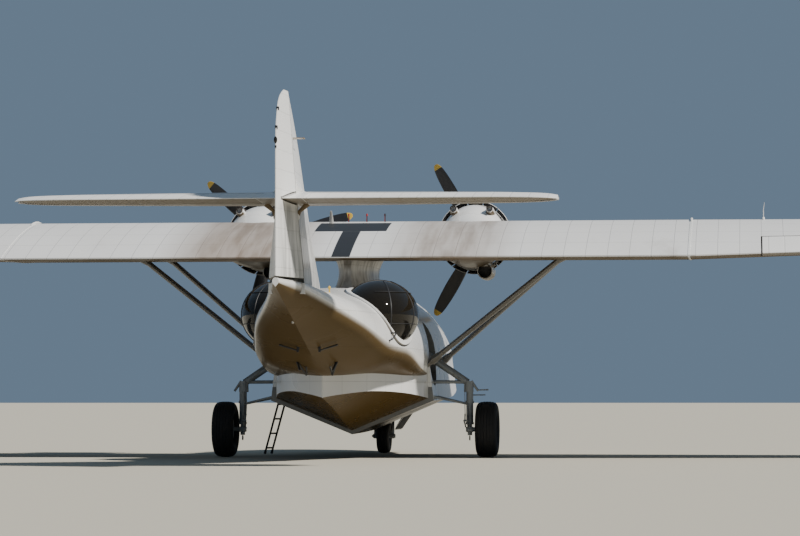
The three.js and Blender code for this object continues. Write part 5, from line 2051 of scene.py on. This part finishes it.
@dataclass
class Power:
    """One engine in its nacelle, with its cowl, exhausts, oil cooler and propeller."""

    side: Side
    x: float = 2.210
    z: float = 4.500
    cowl_radius: float = 0.690
    cowl_front: float = 4.020
    cowl_back: float = 3.500
    flaps: int = 14
    cylinders: int = 14
    propeller_y: float = 4.265
    blades: int = 3
    yellow_from: float = 1.730
    nacelle_sides: int = 56
    # Columns: start and end from the propeller's middle, radius, end radius, sides.
    blade_roots: tuple[Bar, ...] = (
        ((0.07, 0, 0), (0.20, 0, 0), 0.078, 0.070, 28),
        ((0.20, 0, 0), (0.235, 0, 0), 0.084, 0.084, 28),
    )
    row_y: tuple[float, float] = (3.780, 3.580)
    exhaust_x: float = 0.370
    exhaust_z: float = 5.045

    @property
    def centre(self) -> Point:
        """The engine's axis, at y = 0."""
        return (self.side.value * self.x, 0.0, self.z)

    def build(self) -> None:
        """Makes the whole engine installation."""
        self._nacelle()
        self._cowl()
        self._engine()
        self._exhausts()
        self._cooler()
        self._propeller()

    def _nacelle(self) -> None:
        """Makes the nacelle's body."""
        body = Shape()
        rings = []
        for y in spread(NACELLE[0][0], NACELLE[-1][0], 0.09):
            _, z, half_width, half_height = row_at(NACELLE, y)
            rings.append([Vector((self.centre[0] + half_width * cos(t), y,
                                  z + half_height * sin(t))) for t in circle(self.nacelle_sides)])
        body.loft(rings)
        body.place(f"nacelle_{self.side.word}_skin", Finishes.nacelle, Slot.WHITE,
                   [f"nacelle_{self.side.word}"])

    def _cowl(self) -> None:
        """Makes the cowl's ring with its rounded lip, and the open flaps behind it."""
        radius, front, back = self.cowl_radius, self.cowl_front, self.cowl_back
        turns = quarter(7)
        profile = [(radius + 0.008, back)]
        profile += [(radius - 0.06 + 0.06 * sin(t), front - 0.24 + 0.24 * cos(t))
                    for t in reversed(turns)]
        profile += [(radius - 0.06 - 0.035 * sin(t), front - 0.05 + 0.05 * cos(t))
                    for t in turns[1:]]
        profile += [(radius - 0.062, front - 0.16), (radius - 0.062, back)]
        cowl = Shape()
        cowl.spun(profile, self.centre, Axis.Y, 84, closed=True)
        middle = Vector(self.centre)
        cowl.paint(1, lambda c: hypot(c.x - middle.x, c.z - middle.z) < radius - 0.05
                   and c.y < front - 0.08)
        for k in range(self.flaps):
            rings = []
            for i in range(8):
                angle = 2 * pi * (k + 0.03 + 0.94 * i / 7) / self.flaps
                out = Vector((cos(angle), 0, sin(angle)))
                rings.append([middle + out * (radius + r) + Vector((0, back + y, 0)) for r, y in FLAP])
            cowl.loft(rings, tint=lambda place, _: int(place in (3, 4)))
        for angle in circle(self.flaps, 0.5):
            out = Vector((cos(angle), 0, sin(angle)))
            cowl.material = 1
            cowl.bar(middle + out * (radius - 0.05) + Vector((0, back + 0.02, 0)),
                     middle + out * (radius + 0.045) + Vector((0, back - 0.15, 0)), 0.009, 0.007, 8)
        cowl.place(f"cowl_{self.side.word}_skin", (Finishes.cowl, Finishes.dark), Slot.WHITE,
                   [f"cowl_{self.side.word}"])

    def _engine(self) -> None:
        """Makes the two-row radial engine: its case, finned cylinders, rods and wiring ring."""
        engine = Shape()
        engine.spun(ENGINE_CASE, self.centre, Axis.Y, 40)
        barrel = [(0.0, 0.25), (0.072, 0.25), (0.072, 0.315)]
        for k in range(12):
            height = 0.315 + 0.0205 * k
            size = 0.086 if k < 7 else 0.094
            barrel += [(size - 0.016, height), (size, height + 0.004), (size, height + 0.009),
                       (size - 0.016, height + 0.013)]
        barrel += [(0.06, 0.58), (0.045, 0.60), (0.0, 0.60)]
        for i, angle in enumerate(circle(self.cylinders)):
            turn = Matrix.Translation(Vector(self.centre) + Vector((0, self.row_y[i % 2], 0))) \
                @ Matrix.Rotation(angle, 4, "Y")
            engine.material = 1
            engine.spun(barrel, (0, 0, 0), Axis.Z, 18, place=turn)
            engine.material = 0
            for x in (-0.045, 0.045):
                engine.ball(turn @ Vector((x, 0.03, 0.594)), (0.032, 0.045, 0.024), 6)
            engine.bars(CYLINDER_RODS, lambda *point, turn=turn: turn @ Vector(point))
        engine.hoop(0.285, 0.018, self.centre, Axis.Y, 48, 3.93)
        for angle in (0.6, -0.6):
            at = Vector(self.centre) + Vector((0.17 * sin(angle), 4.0, 0.17 * cos(angle)))
            engine.bar(at, at + Vector((0.05 * sin(angle), 0.06, 0.06)), 0.045, 0.040, 16)
        engine.place(f"engine_{self.side.word}_dressed", (Finishes.engine, Finishes.fins), Slot.ENGINE,
                     [f"engine_{self.side.word}"])

    def _exhausts(self) -> None:
        """Makes the two exhaust pipes behind the cowl, with the fairings that they leave by."""
        pipes, fairings = Shape(), Shape()
        for way in (-1, 1):
            x = self.centre[0] + way * self.exhaust_x
            pipes.spun(EXHAUST, (x, 0.0, self.exhaust_z), Axis.Y, 28)
            fairings.pipe(EXHAUST_FAIRING, lambda _, y, z, x=x: (x, y, z), 20)
        pipes.place(f"exhausts_{self.side.word}", Finishes.burnt, Slot.GEAR)
        fairings.place(f"exhaust_fairings_{self.side.word}", Finishes.nacelle, Slot.WHITE)

    def _cooler(self) -> None:
        """Makes the oil cooler's duct, open at both ends."""
        at = (self.centre[0] + 0.270, 0.0, 3.770)
        duct = Shape()
        duct.spun(OIL_DUCT, at, Axis.Y, 56)
        duct.paint(1, lambda c: hypot(c.x - at[0], c.z - at[2]) < 0.1415)
        duct.pipe(DUCT_DOOR, lambda x, y, z: (at[0] + x, y, z), 10, 0.5)
        duct.block((at[0] - 0.10, 2.60, 3.86), (at[0] + 0.08, 3.16, 4.02), 0.03)
        grid = Shape()
        for z in spread(at[2] - 0.10, at[2] + 0.10, 0.022):
            half = sqrt(max(0.130**2 - (z - at[2])**2, 0.0))
            grid.block((at[0] - half, 2.744, z - 0.003), (at[0] + half, 2.750, z + 0.003), 0.001)
        duct.place(f"oil_cooler_{self.side.word}_duct", (Finishes.cowl, Finishes.dark), Slot.GEAR,
                   [f"oil_cooler_{self.side.word}"])
        grid.place(f"oil_cooler_{self.side.word}_grid", Finishes.fins, Slot.GEAR)

    def _propeller(self) -> None:
        """Makes the hub and the blades, with yellow tips."""
        hub = Shape()
        middle = Vector((self.centre[0], self.propeller_y, self.z))
        hub.spun(HUB, middle, Axis.Y, 40)
        for angle in circle(8):
            at = middle + Vector((0.058 * cos(angle), 0.19, 0.058 * sin(angle)))
            hub.bar(at, at + Vector((0, 0.022, 0)), 0.009, 0.009, 6)
        first = 0.0 if self.side is Side.RIGHT else 17.0
        turns = [Matrix.Translation(middle) @ Matrix.Rotation(
            -radians(first + 360 * k / self.blades), 4, "Y") for k in range(self.blades)]
        for turn in turns:
            hub.bars(self.blade_roots, lambda *point, turn=turn: turn @ Vector(point))
        body = self.side.body("PROPELLER")
        hub.place(f"propeller_{self.side.word}_hub", Finishes.hub, Slot.BLADE, body=body)
        blades = Shape()
        radii = spread(BLADE[0][0] + 0.09, BLADE[-3][0], 0.055) + [1.755, 1.785, 1.808, 1.822, 1.830]
        for turn in turns:
            rings = [[turn @ point for point in self._blade_ring(radius)] for radius in radii]
            blades.loft(rings, tint=lambda _, level: int(radii[level] >= self.yellow_from - 0.02))
        blades.place(f"propeller_{self.side.word}_blades", (Finishes.blade, Finishes.yellow),
                     Slot.BLADE,
                     [f"propeller_{self.side.word}"], body=body, sharp=50.0)

    @staticmethod
    def _blade_ring(radius: float) -> Ring:
        """Gives a blade's section at a radius.

        Args:
            radius: how far from the propeller's middle the section is.

        Returns:
            The section's points.
        """
        _, chord, thickness, pitch = row_at(BLADE, radius)
        turn = radians(pitch)
        ring = []
        for angle in circle(20):
            along, off = chord / 2 * cos(angle), thickness / 2 * sin(angle)
            ring.append(Vector((radius, along * sin(turn) + off * cos(turn),
                                along * cos(turn) - off * sin(turn))))
        return ring


@dataclass
class Wheel:
    """A tyre on its rim."""

    name: str
    body: Body
    centre: Point
    width: float
    rim_radius: float
    axle: float
    grooves: tuple[float, ...]

    # Columns: place along the section, share of the depth, half-width over the greatest.
    flank: Table = (
        (0.0, 0.00, 0.55), (1.0, 0.20, 0.86), (2.0, 0.50, 1.00), (3.0, 0.75, 0.95),
        (4.0, 0.92, 0.76), (5.0, 0.99, 0.40), (6.0, 1.00, 0.00),
    )

    def build(self) -> None:
        """Makes the tyre with its grooves, and the rim with its bolts and hub."""
        radius = self.centre[2]
        inner = self.rim_radius + 0.0003
        half = []
        for t in spread(0.0, 6.0, 0.09):
            _, depth, wide = row_at(self.flank, t)
            across = wide * self.width / 2
            out = inner + depth * (radius - inner)
            if any(abs(across - g) < 0.0065 for g in self.grooves):
                out -= 0.010
            if t < 2.6 and abs(sin(t * 9)) > 0.93:
                out += 0.002
            half.append((out, across))
        profile = half + [(r, -x) for r, x in reversed(half[:-1])]
        tyre = Shape()
        tyre.spun(profile, self.centre, Axis.X, 96, closed=True)
        tyre.place(f"{self.name}_tyre_dressed", Finishes.rubber, Slot.TYRE,
                   [self.name.replace("wheel", "tyre")], body=self.body, sharp=50.0)
        self._rim()

    def _rim(self) -> None:
        """Makes the rim's turned disc with its hub, its bolts and its ribs."""
        wide, rim = self.width / 2, self.rim_radius
        bore = self.axle + 0.0008
        right = [(bore, wide * 0.5), (0.088, wide * 0.5), (0.095, wide * 0.46), (0.105, 0.032),
                 (0.14, 0.028), (rim - 0.055, 0.034), (rim - 0.035, 0.05), (rim - 0.022, wide * 0.5),
                 (rim - 0.012, wide * 0.6), (rim, wide * 0.62)]
        disc = Shape()
        disc.spun([*right, *((r, -x) for r, x in reversed(right))], self.centre, Axis.X, 72,
                  closed=True)
        middle = Vector(self.centre)
        for angle in circle(10):
            out = Vector((0, cos(angle), sin(angle)))
            for way in (-1, 1):
                at = middle + out * (rim - 0.075) + Vector((way * 0.028, 0, 0))
                disc.bar(at, at + Vector((way * 0.014, 0, 0)), 0.010, 0.009, 6)
                rib = middle + out * 0.11 + Vector((way * 0.03, 0, 0))
                disc.bar(rib, middle + out * (rim - 0.05) + Vector((way * 0.034, 0, 0)), 0.009,
                         0.006, 8)
        disc.place(f"{self.name}_rim_dressed", Finishes.alloy, Slot.ALLOY,
                   [self.name.replace("wheel", "rim")], body=self.body)


# The main leg's struts, the rods on the starboard one, and its links. Columns: start and end, each as x
# from the leg, y from the wheel's middle and z; radius, end radius, sides.
MAIN_LEG: tuple[Bar, ...] = (
    ((0, 0, 0.66), (0, 0, 1.47), 0.070, 0.070, 20),
    ((0, 0, 1.075), (0, 0, 1.125), 0.086, 0.086, 20),
    ((0, 0, 0.655), (0, 0, 0.700), 0.082, 0.082, 20),
    ((-0.02, 0, 1.30), (-0.02, 0, 1.52), 0.098, 0.092, 20),
    ((-1.14, 0, 2.235), (-0.04, 0, 1.49), 0.076, 0.072, 20),
    ((-1.09, -0.14, 1.505), (-0.05, -0.01, 1.500), 0.034, 0.034, 20),
    ((-1.09, 0.14, 1.505), (-0.05, 0.01, 1.500), 0.034, 0.034, 20),
    ((-0.80, -0.40, 1.235), (-0.03, -0.02, 1.060), 0.026, 0.022, 20),
    ((-0.80, 0.40, 1.235), (-0.03, 0.02, 1.060), 0.026, 0.022, 20),
    ((0, 0, 0.555), (0.465, 0, 0.555), 0.045, 0.045, 20),
    ((0.462, 0, 0.555), (0.48, 0, 0.555), 0.062, 0.058, 20),
    ((0, -0.075, 0.555), (0, 0.075, 0.555), 0.040, 0.040, 20),
    ((0.03, 0, 1.52), (0.17, 0, 1.32), 0.030, 0.024, 20),
)
MAIN_LEG_RODS: tuple[Bar, ...] = (
    ((0.16, 0, 1.34), (0.34, 0, 1.345), 0.013, 0.013, 20),
    ((0.05, 0.02, 1.24), (0.31, 0.02, 1.243), 0.012, 0.012, 20),
)
MAIN_LEG_LINKS: tuple[Bar, ...] = (
    ((-0.085, -0.10, 0.86), (-0.081, -0.22, 0.73), 0.015, 0.013, 10),
    ((-0.015, -0.10, 0.86), (-0.039, -0.22, 0.73), 0.015, 0.013, 10),
    ((-0.095, -0.22, 0.73), (-0.071, -0.10, 0.60), 0.015, 0.013, 10),
    ((-0.025, -0.22, 0.73), (-0.029, -0.10, 0.60), 0.015, 0.013, 10),
    ((-0.11, -0.22, 0.73), (-0.01, -0.22, 0.73), 0.017, 0.017, 12),
)
PISTON: Bar = ((0, 0, 0.44), (0, 0, 0.68), 0.047, 0.047, 20)
RED_END: Bar = ((0.335, 0, 1.345), (0.375, 0, 1.345), 0.017, 0.015, 12)
# Columns: x, y, z, radius.
HOSE: Table = ((-0.02, 0.068, 1.10, 0.018), (-0.035, 0.0952, 0.98, 0.016),
                         (-0.03, 0.0884, 0.80, 0.016), (0, 0.0612, 0.60, 0.014))
BRAKE_LINE: Table = (
    (-0.73, -0.06, 2.02, 0.008), (-0.34, -0.09, 1.72, 0.008), (-0.09, -0.09, 1.45, 0.008),
    (-0.09, -0.085, 1.0, 0.008), (-0.08, -0.11, 0.75, 0.008), (0.03, -0.10, 0.62, 0.008),
)


@dataclass
class MainGear:
    """One main leg, with its braces, links, hoses and wheel."""

    side: Side
    y: float = 1.130
    x: float = 2.290
    axle: Point = (0.350, 0.0, 0.555)

    def at(self, x: float, y: float, z: float) -> Point:
        """Gives a point of this side, with x from the leg and y from the wheel's middle."""
        return (self.side.value * (self.x + x), self.y + y, z)

    def build(self) -> None:
        """Makes the leg and the wheel."""
        leg = Shape()
        right = self.side is Side.RIGHT
        leg.bars(MAIN_LEG + MAIN_LEG_RODS if right else MAIN_LEG, self.at)
        for way in (-1, 1):
            leg.pipe(HOSE, lambda x, y, z, way=way: self.at(x, way * y, z), 10)
        low, high = self.at(-0.075, -0.085, 0.500), self.at(0.075, 0.085, 0.610)
        leg.block(tuple(map(min, low, high)), tuple(map(max, low, high)), 0.025)
        leg.material = 1
        leg.bars([PISTON], self.at)
        if right:
            leg.material = 2
            leg.bars([RED_END], self.at)
        leg.material = 0
        leg.hoop(0.042, 0.011, self.at(0, 0, 0.385), Axis.X, 28)
        leg.bars(MAIN_LEG_LINKS, self.at)
        leg.pipe(BRAKE_LINE, self.at, 8)
        leg.place(f"main_leg_{self.side.word}_dressed", (Finishes.gear, Finishes.steel, Finishes.red),
                  Slot.GEAR, [f"main_leg_{self.side.word}"])
        Wheel(f"main_wheel_{self.side.word}", self.side.body("MAIN_WHEEL"), self.at(*self.axle),
              0.430, 0.254, 0.045, (0.030, 0.090, 0.145)).build()


@dataclass
class NoseGear:
    """The nose leg, its fork and wheel, and the open doors."""

    wheel_y: float = 6.080
    leg_y: float = 6.130
    radius: float = 0.365
    width: float = 0.280
    crown: float = 0.860
    stop_x: float = 0.245
    # Columns: start and end, with y from the leg, then radius, end radius, sides.
    leg: tuple[Bar, ...] = (
        ((0, 0, 0.906), (0, 0, 1.49), 0.094, 0.108, 28),
        ((0, 0, 1.02), (0, 0, 1.06), 0.108, 0.108, 28),
        ((-0.12, 0.02, 1.20), (-0.264, -0.55, 1.44), 0.020, 0.018, 10),
        ((0.12, 0.02, 1.20), (0.264, -0.55, 1.44), 0.020, 0.018, 10),
        ((-0.16, 0, 1.20), (0.16, 0, 1.20), 0.030, 0.030, 14),
    )
    # Columns: x, y from the leg, z, radius.
    brace: Table = ((0, 0, 1.15, 0.046), (0, -0.56, 1.44, 0.040))
    well: tuple[float, float, float] = (5.520, 6.760, 1.500)
    # The door's section: the hinge's x and z, then its free edge's.
    door: Row = (0.556, 0.898, 0.290, 0.510)

    def build(self) -> None:
        """Makes the nose gear."""
        at = (lambda x, y, z: (x, self.leg_y + y, z))
        leg = Shape()
        leg.bars(self.leg, at)
        leg.pipe(self.brace, at, 16)
        leg.place("nose_leg_dressed", Finishes.gear, Slot.GEAR, ["nose_leg"])
        fork = Shape()
        x = self.width / 2 + 0.045
        fork.bar(at(0, 0, self.crown - 0.05), at(0, 0, 0.9035), 0.089, 0.086, 28)
        fork.block(at(-x - 0.036, -0.074, self.crown - 0.10), at(x + 0.036, 0.074, self.crown), 0.03,
                   segments=3)
        for sign in (-1, 1):
            end = (sign * x, self.wheel_y, self.radius)
            fork.pipe(((*at(sign * x, 0, self.crown - 0.05), 0.037),
                       (*at(sign * x, -0.008, 0.62), 0.034),
                       (*end, 0.040)), sides=16, flat=0.8)
            fork.bar((end[0] - 0.035, *end[1:]), (end[0] + 0.035, *end[1:]), 0.055, 0.055, 20)
            stop = sign * self.stop_x
            fork.block((stop - 0.018, 6.045, 0.345), (stop + 0.0001, 6.115, 0.385), 0.004)
        fork.bar((-x - 0.06, self.wheel_y, self.radius), (x + 0.06, self.wheel_y, self.radius),
                 0.042, 0.042, 20)
        fork.place("nose_fork_dressed", Finishes.gear, Slot.GEAR, ["nose_fork"],
                   body=Body.NOSE_STEERING)
        Wheel("nose_wheel", Body.NOSE_WHEEL, (0.0, self.wheel_y, self.radius), self.width, 0.165, 0.042,
              (0.025, 0.070)).build()
        for side in Side:
            self._door(side)

    def _door(self, side: Side) -> None:
        """Makes one open door: a bowed sheet with ribs on its inner side.

        Args:
            side: the side it is on.
        """
        hinge_x, hinge_z, edge_x, edge_z = self.door
        run = Vector((edge_x - hinge_x, 0, edge_z - hinge_z))
        out = Vector((-run.z, 0, run.x)).normalized()
        rings = []
        for y in spread(self.well[0] + 0.012, self.well[1] - 0.012, 0.09):
            outer = [Vector((hinge_x, y, hinge_z)) + run * t - out * 0.022 * sin(pi * t)
                     for t in (i / 8 for i in range(9))]
            inner = [p + out * 0.012 for p in reversed(outer)]
            rings.append([Vector((side.value * p.x, p.y, p.z)) for p in outer + inner])
        door = Shape()
        door.loft(rings, tint=lambda place, _: int(9 <= place <= 16))
        door.material = 1
        for y in spread(self.well[0] + 0.10, self.well[1] - 0.10, 0.26):
            points = [Vector((hinge_x, y, hinge_z)) + run * t + out * 0.016 for t in (0.06, 0.5, 0.94)]
            door.tube([(side.value * p.x, p.y, p.z) for p in points], 0.013, 8)
        made = door.piece(f"nose_door_{side.word}_dressed", (Finishes.plain, Finishes.door_inner))
        settle(made, Slot.WHITE, [f"nose_door_{side.word}"])


@dataclass
class Ladder:
    """The boarding ladder at the port side."""

    y: float = 2.350
    half: float = 0.170
    turn: float = radians(15)
    high: tuple[float, float] = (-1.640, 1.230)
    low: tuple[float, float] = (-1.960, 0.045)
    rungs: int = 4

    def at(self, t: float, way: float) -> Point:
        """Gives a point from the foot, t = 0, to the top.

        Args:
            t: the place along the rail.
            way: the sign of the rail's side.

        Returns:
            The point.
        """
        (low_x, low_z), (high_x, high_z) = self.low, self.high
        return (low_x + (high_x - low_x) * t + way * self.half * sin(self.turn),
                self.y + way * self.half * cos(self.turn), low_z + (high_z - low_z) * t)

    def build(self) -> None:
        """Makes the rails, the rungs, the feet and the hooks."""
        ladder = Shape()
        for way in (-1, 1):
            ladder.tube([self.at(0.012, way), self.at(0.5, way), self.at(0.96, way),
                         tuple(Vector(self.at(1.02, way)) + Vector((0.03, 0, 0.01)))], 0.021, 14)
            ladder.bar(self.at(-0.002, way), self.at(0.05, way), 0.028, 0.026, 16)
        for i in range(self.rungs):
            t = (i + 0.4) / self.rungs
            ladder.bar(self.at(t, -1), self.at(t, 1), 0.016, 0.016, 14)
            for way in (-0.8, -0.4, 0.0, 0.4, 0.8):
                ladder.bar(self.at(t, way - 0.05), self.at(t, way + 0.05), 0.019, 0.019, 14)
        ladder.place("ladder_dressed", Finishes.ladder, Slot.LADDER, ["ladder"])


@dataclass
class Cockpit:
    """The flight deck's glazing, frames, seats and controls."""

    seat_x: float = 0.520
    frame: float = 0.032
    # A seat's stand. Columns: start and end, with x from the seat's middle; radius, end radius, sides.
    seat_bars: tuple[Bar, ...] = (
        ((0.14, 5.62, 1.951), (0.14, 5.60, 2.24), 0.018, 0.018, 12),
        ((0.14, 5.38, 1.951), (0.14, 5.40, 2.24), 0.018, 0.018, 12),
        ((0.14, 5.36, 1.970), (0.14, 5.64, 1.970), 0.020, 0.020, 12),
    )
    # A seat's pan and back. Columns: lowest corner, highest corner, rounding.
    seat_sheets: tuple[tuple[Point, Point, float], ...] = (
        ((-0.235, 5.305, 2.222), (0.235, 5.755, 2.262), 0.018),
        ((-0.235, 5.242, 2.240), (0.235, 5.268, 2.955), 0.012),
    )
    # The controls' columns and yoke.
    columns: tuple[Bar, ...] = (
        ((-0.62, 6.34, 2.46), (0.62, 6.34, 2.46), 0.022, 0.022, 16),
        ((-0.62, 6.34, 1.95), (-0.62, 6.34, 2.47), 0.020, 0.020, 14),
        ((0.62, 6.34, 1.95), (0.62, 6.34, 2.47), 0.020, 0.020, 14),
    )
    # One control wheel's shaft and spoke, with x from the seat's middle.
    wheel_bars: tuple[Bar, ...] = (
        ((0, 6.10, 2.46), (0, 6.34, 2.46), 0.014, 0.014, 12),
        ((-0.125, 6.10, 2.52), (0.125, 6.10, 2.52), 0.009, 0.009, 10),
    )
    # A dial's section. Columns: radius, y from the panel.
    dial: Table = ((0.0, -0.010), (0.040, -0.010), (0.044, -0.004), (0.044, 0.01), (0.0, 0.01))
    lever_xs: Row = (-0.06, -0.03, 0.03, 0.06)
    panes: tuple[Point, Point] = ((-3.0, 4.9, 2.56), (3.0, 6.76, 3.6))

    def build(self) -> None:
        """Makes the glazing and what shows through it."""
        self._glazing()
        self._frames()
        for side in Side:
            self._seat(side)
        self._controls()

    @staticmethod
    def _shell(name: str, finish: Paint | Glass, outer: Row, inner: Row, region: Object,
               holes: Sequence[Object] = ()) -> Object:
        """Makes a part of a thin shell that follows the hull.

        Args:
            name: the piece's name.
            finish: its finish.
            outer: the outer solid's fore end, aft end and how far it stands out.
            inner: the same for the solid that hollows it.
            region: the solid that it is kept in.
            holes: the solids that it is cut by.

        Returns:
            The piece.
        """
        shell = Hull().body(FORE_BODY, *outer)
        carve(shell, [Hull().body(FORE_BODY, *inner)])
        carve(shell, [region], "INTERSECT")
        carve(shell, holes)
        shell.data.materials.clear()
        for _ in Hull.finish:
            shell.data.materials.append(finishes.get(finish))
        shell.name = name
        return shell

    def _glazing(self) -> None:
        """Makes the panes, just inside the skin."""
        region = Hull().cutter(lambda s: s.block(*self.panes))
        panes = self._shell("cockpit_panes", Finishes.clear, (6.76, 4.90, -0.046), (6.90, 4.80, -0.054),
                            region)
        settle(panes, Slot.CLEAR, ["cockpit_glass"])

    def _frames(self) -> None:
        """Makes a raised frame round each window."""
        hull = Hull()
        for number, window in enumerate(hull.windows):
            ranges = [(low - self.frame, high + self.frame) for low, high in window]
            outer = hull.cutter(lambda s, r=ranges: s.block(*zip(*r), 0.06, segments=4))
            hole = hull.cutter(lambda s, w=window: s.block(*zip(*w), 0.05, segments=4))
            front, back = min(window[1][1] + 0.5, 9.735), window[1][0]
            settle(self._shell(f"window_frame_{number + 1}", Finishes.frame, (front, back - 0.5, 0.009),
                               (front, back - 0.6, -0.03), outer, [hole]), Slot.WHITE)

    def _seat(self, side: Side) -> None:
        """Makes a crew seat: its pan, stand and back, and its two cushions.

        Args:
            side: the side it is on.
        """
        x = side.value * self.seat_x
        pan = Shape()
        for way in (-1, 1):
            at = (lambda out, y, z, way=way: (x + way * out, y, z))
            rail = x + way * 0.225
            pan.block((rail - 0.010, 5.305, 2.222), (rail + 0.010, 5.755, 2.325), 0.009)
            pan.bars(self.seat_bars, at)
        for low, high, round_by in self.seat_sheets:
            pan.block((x + low[0], *low[1:]), (x + high[0], *high[1:]), round_by, segments=3)
        pan.place(f"crew_seat_{side.word}_frame", Finishes.seat, Slot.SEAT, [f"crew_seat_{side.word}"])
        for name, low, high in (("base", (x - 0.205, 5.34, 2.263), (x + 0.205, 5.745, 2.330)),
                                ("back", (x - 0.205, 5.269, 2.345), (x + 0.205, 5.330, 2.94))):
            cushion = Shape()
            cushion.pillow(low, high)
            made = cushion.piece(f"crew_seat_{side.word}_{name}_cushion", Finishes.pad)
            settle(made, Slot.SEAT, sharp=80.0)

    def _controls(self) -> None:
        """Makes the instrument panel, the wheels on their yoke and the levers overhead."""
        panel = Shape()
        panel.block((-0.78, 6.40, 2.62), (0.78, 6.44, 2.92), 0.015, segments=3)
        panel.block((-0.78, 6.30, 2.91), (0.78, 6.50, 2.935), 0.010)
        panel.material = 1
        for row, z in enumerate((2.84, 2.72)):
            for k in range(9):
                x = -0.80 + 0.2 * k
                panel.spun(self.dial, (x, 6.397, z), Axis.Y, 24)
                panel.bar((x - 0.02, 6.385, z - 0.01), (x + 0.012, 6.385, z + 0.018 - 0.02 * row),
                          0.002, 0.001, 6)
        for side in Side:
            x = side.value * self.seat_x
            panel.bars(self.wheel_bars, lambda out, y, z, x=x: (x + out, y, z))
            panel.hoop(0.125, 0.011, (x, 6.10, 2.52), Axis.Y, 40)
        panel.material = 0
        panel.bars(self.columns)
        panel.block((-0.10, 5.78, 3.20), (0.10, 5.96, 3.26), 0.012)
        for x in self.lever_xs:
            panel.bar((x, 5.87, 3.20), (x, 5.80, 3.08), 0.006, 0.006, 8)
            panel.ball((x, 5.80, 3.075), (0.013, 0.013, 0.013), 6)
        panel.place("flight_controls", (Finishes.panel, Finishes.dark), Slot.SEAT)


@dataclass
class Turret:
    """The glazed bow turret, with its frames and ring."""

    y: float = 8.250
    radius: float = 0.430
    ring_z: float = 2.860
    top: float = 3.230

    def outline(self, shrink: float = 0.0) -> Outline:
        """Gives the dome's profile as radius and height, made smaller by shrink.

        Args:
            shrink: how far it is made smaller.

        Returns:
            The profile's points.
        """
        rise = self.top - self.ring_z - 0.06
        curve = [(self.radius * cos(t) ** 0.8, self.ring_z + 0.06 + rise * sin(t))
                 for t in quarter(14)[:-1]]
        points = [(self.radius, self.ring_z - 0.06), *curve, (0.0, self.top)]
        return [(max(r - shrink, 0.0), z - shrink) for r, z in points]

    def build(self) -> None:
        """Makes the dome and its frames."""
        dome = Shape()
        outer, inner = self.outline(), self.outline(0.012)
        dome.spun([*outer, *reversed(inner), outer[0]], (0, self.y, 0), Axis.Z, 48)
        dome.place("bow_turret_dome", Finishes.clear, Slot.CLEAR, ["bow_turret"])
        frames = Shape()
        for angle in circle(8, 0.5):
            frames.tube([((r + 0.003) * cos(angle), self.y + (r + 0.003) * sin(angle), z + 0.003)
                         for r, z in self.outline()[1:-2]], 0.012, 8, 0.6)
        for radius, z, thick in ((self.radius + 0.002, self.ring_z + 0.05, 0.016), (0.30, 3.145, 0.012),
                                 (self.radius + 0.012, self.ring_z - 0.055, 0.030)):
            frames.hoop(radius, thick, (0, self.y, 0), Axis.Z, 48, z)
        frames.place("bow_turret_frames", Finishes.frame, Slot.WHITE)


def main() -> None:
    """Builds the aircraft from its sub-assemblies, in order."""
    logging.basicConfig(level=logging.INFO, format="%(message)s")
    Studio().build()
    parts = [Hull(), Blister(), Wing(), Tail(), Support(), NoseGear(), Ladder(), Cockpit(), Turret()]
    for side in Side:
        parts += [Power(side), MainGear(side)]
    for part in parts:
        part.build()


if __name__ == "__main__":
    main()
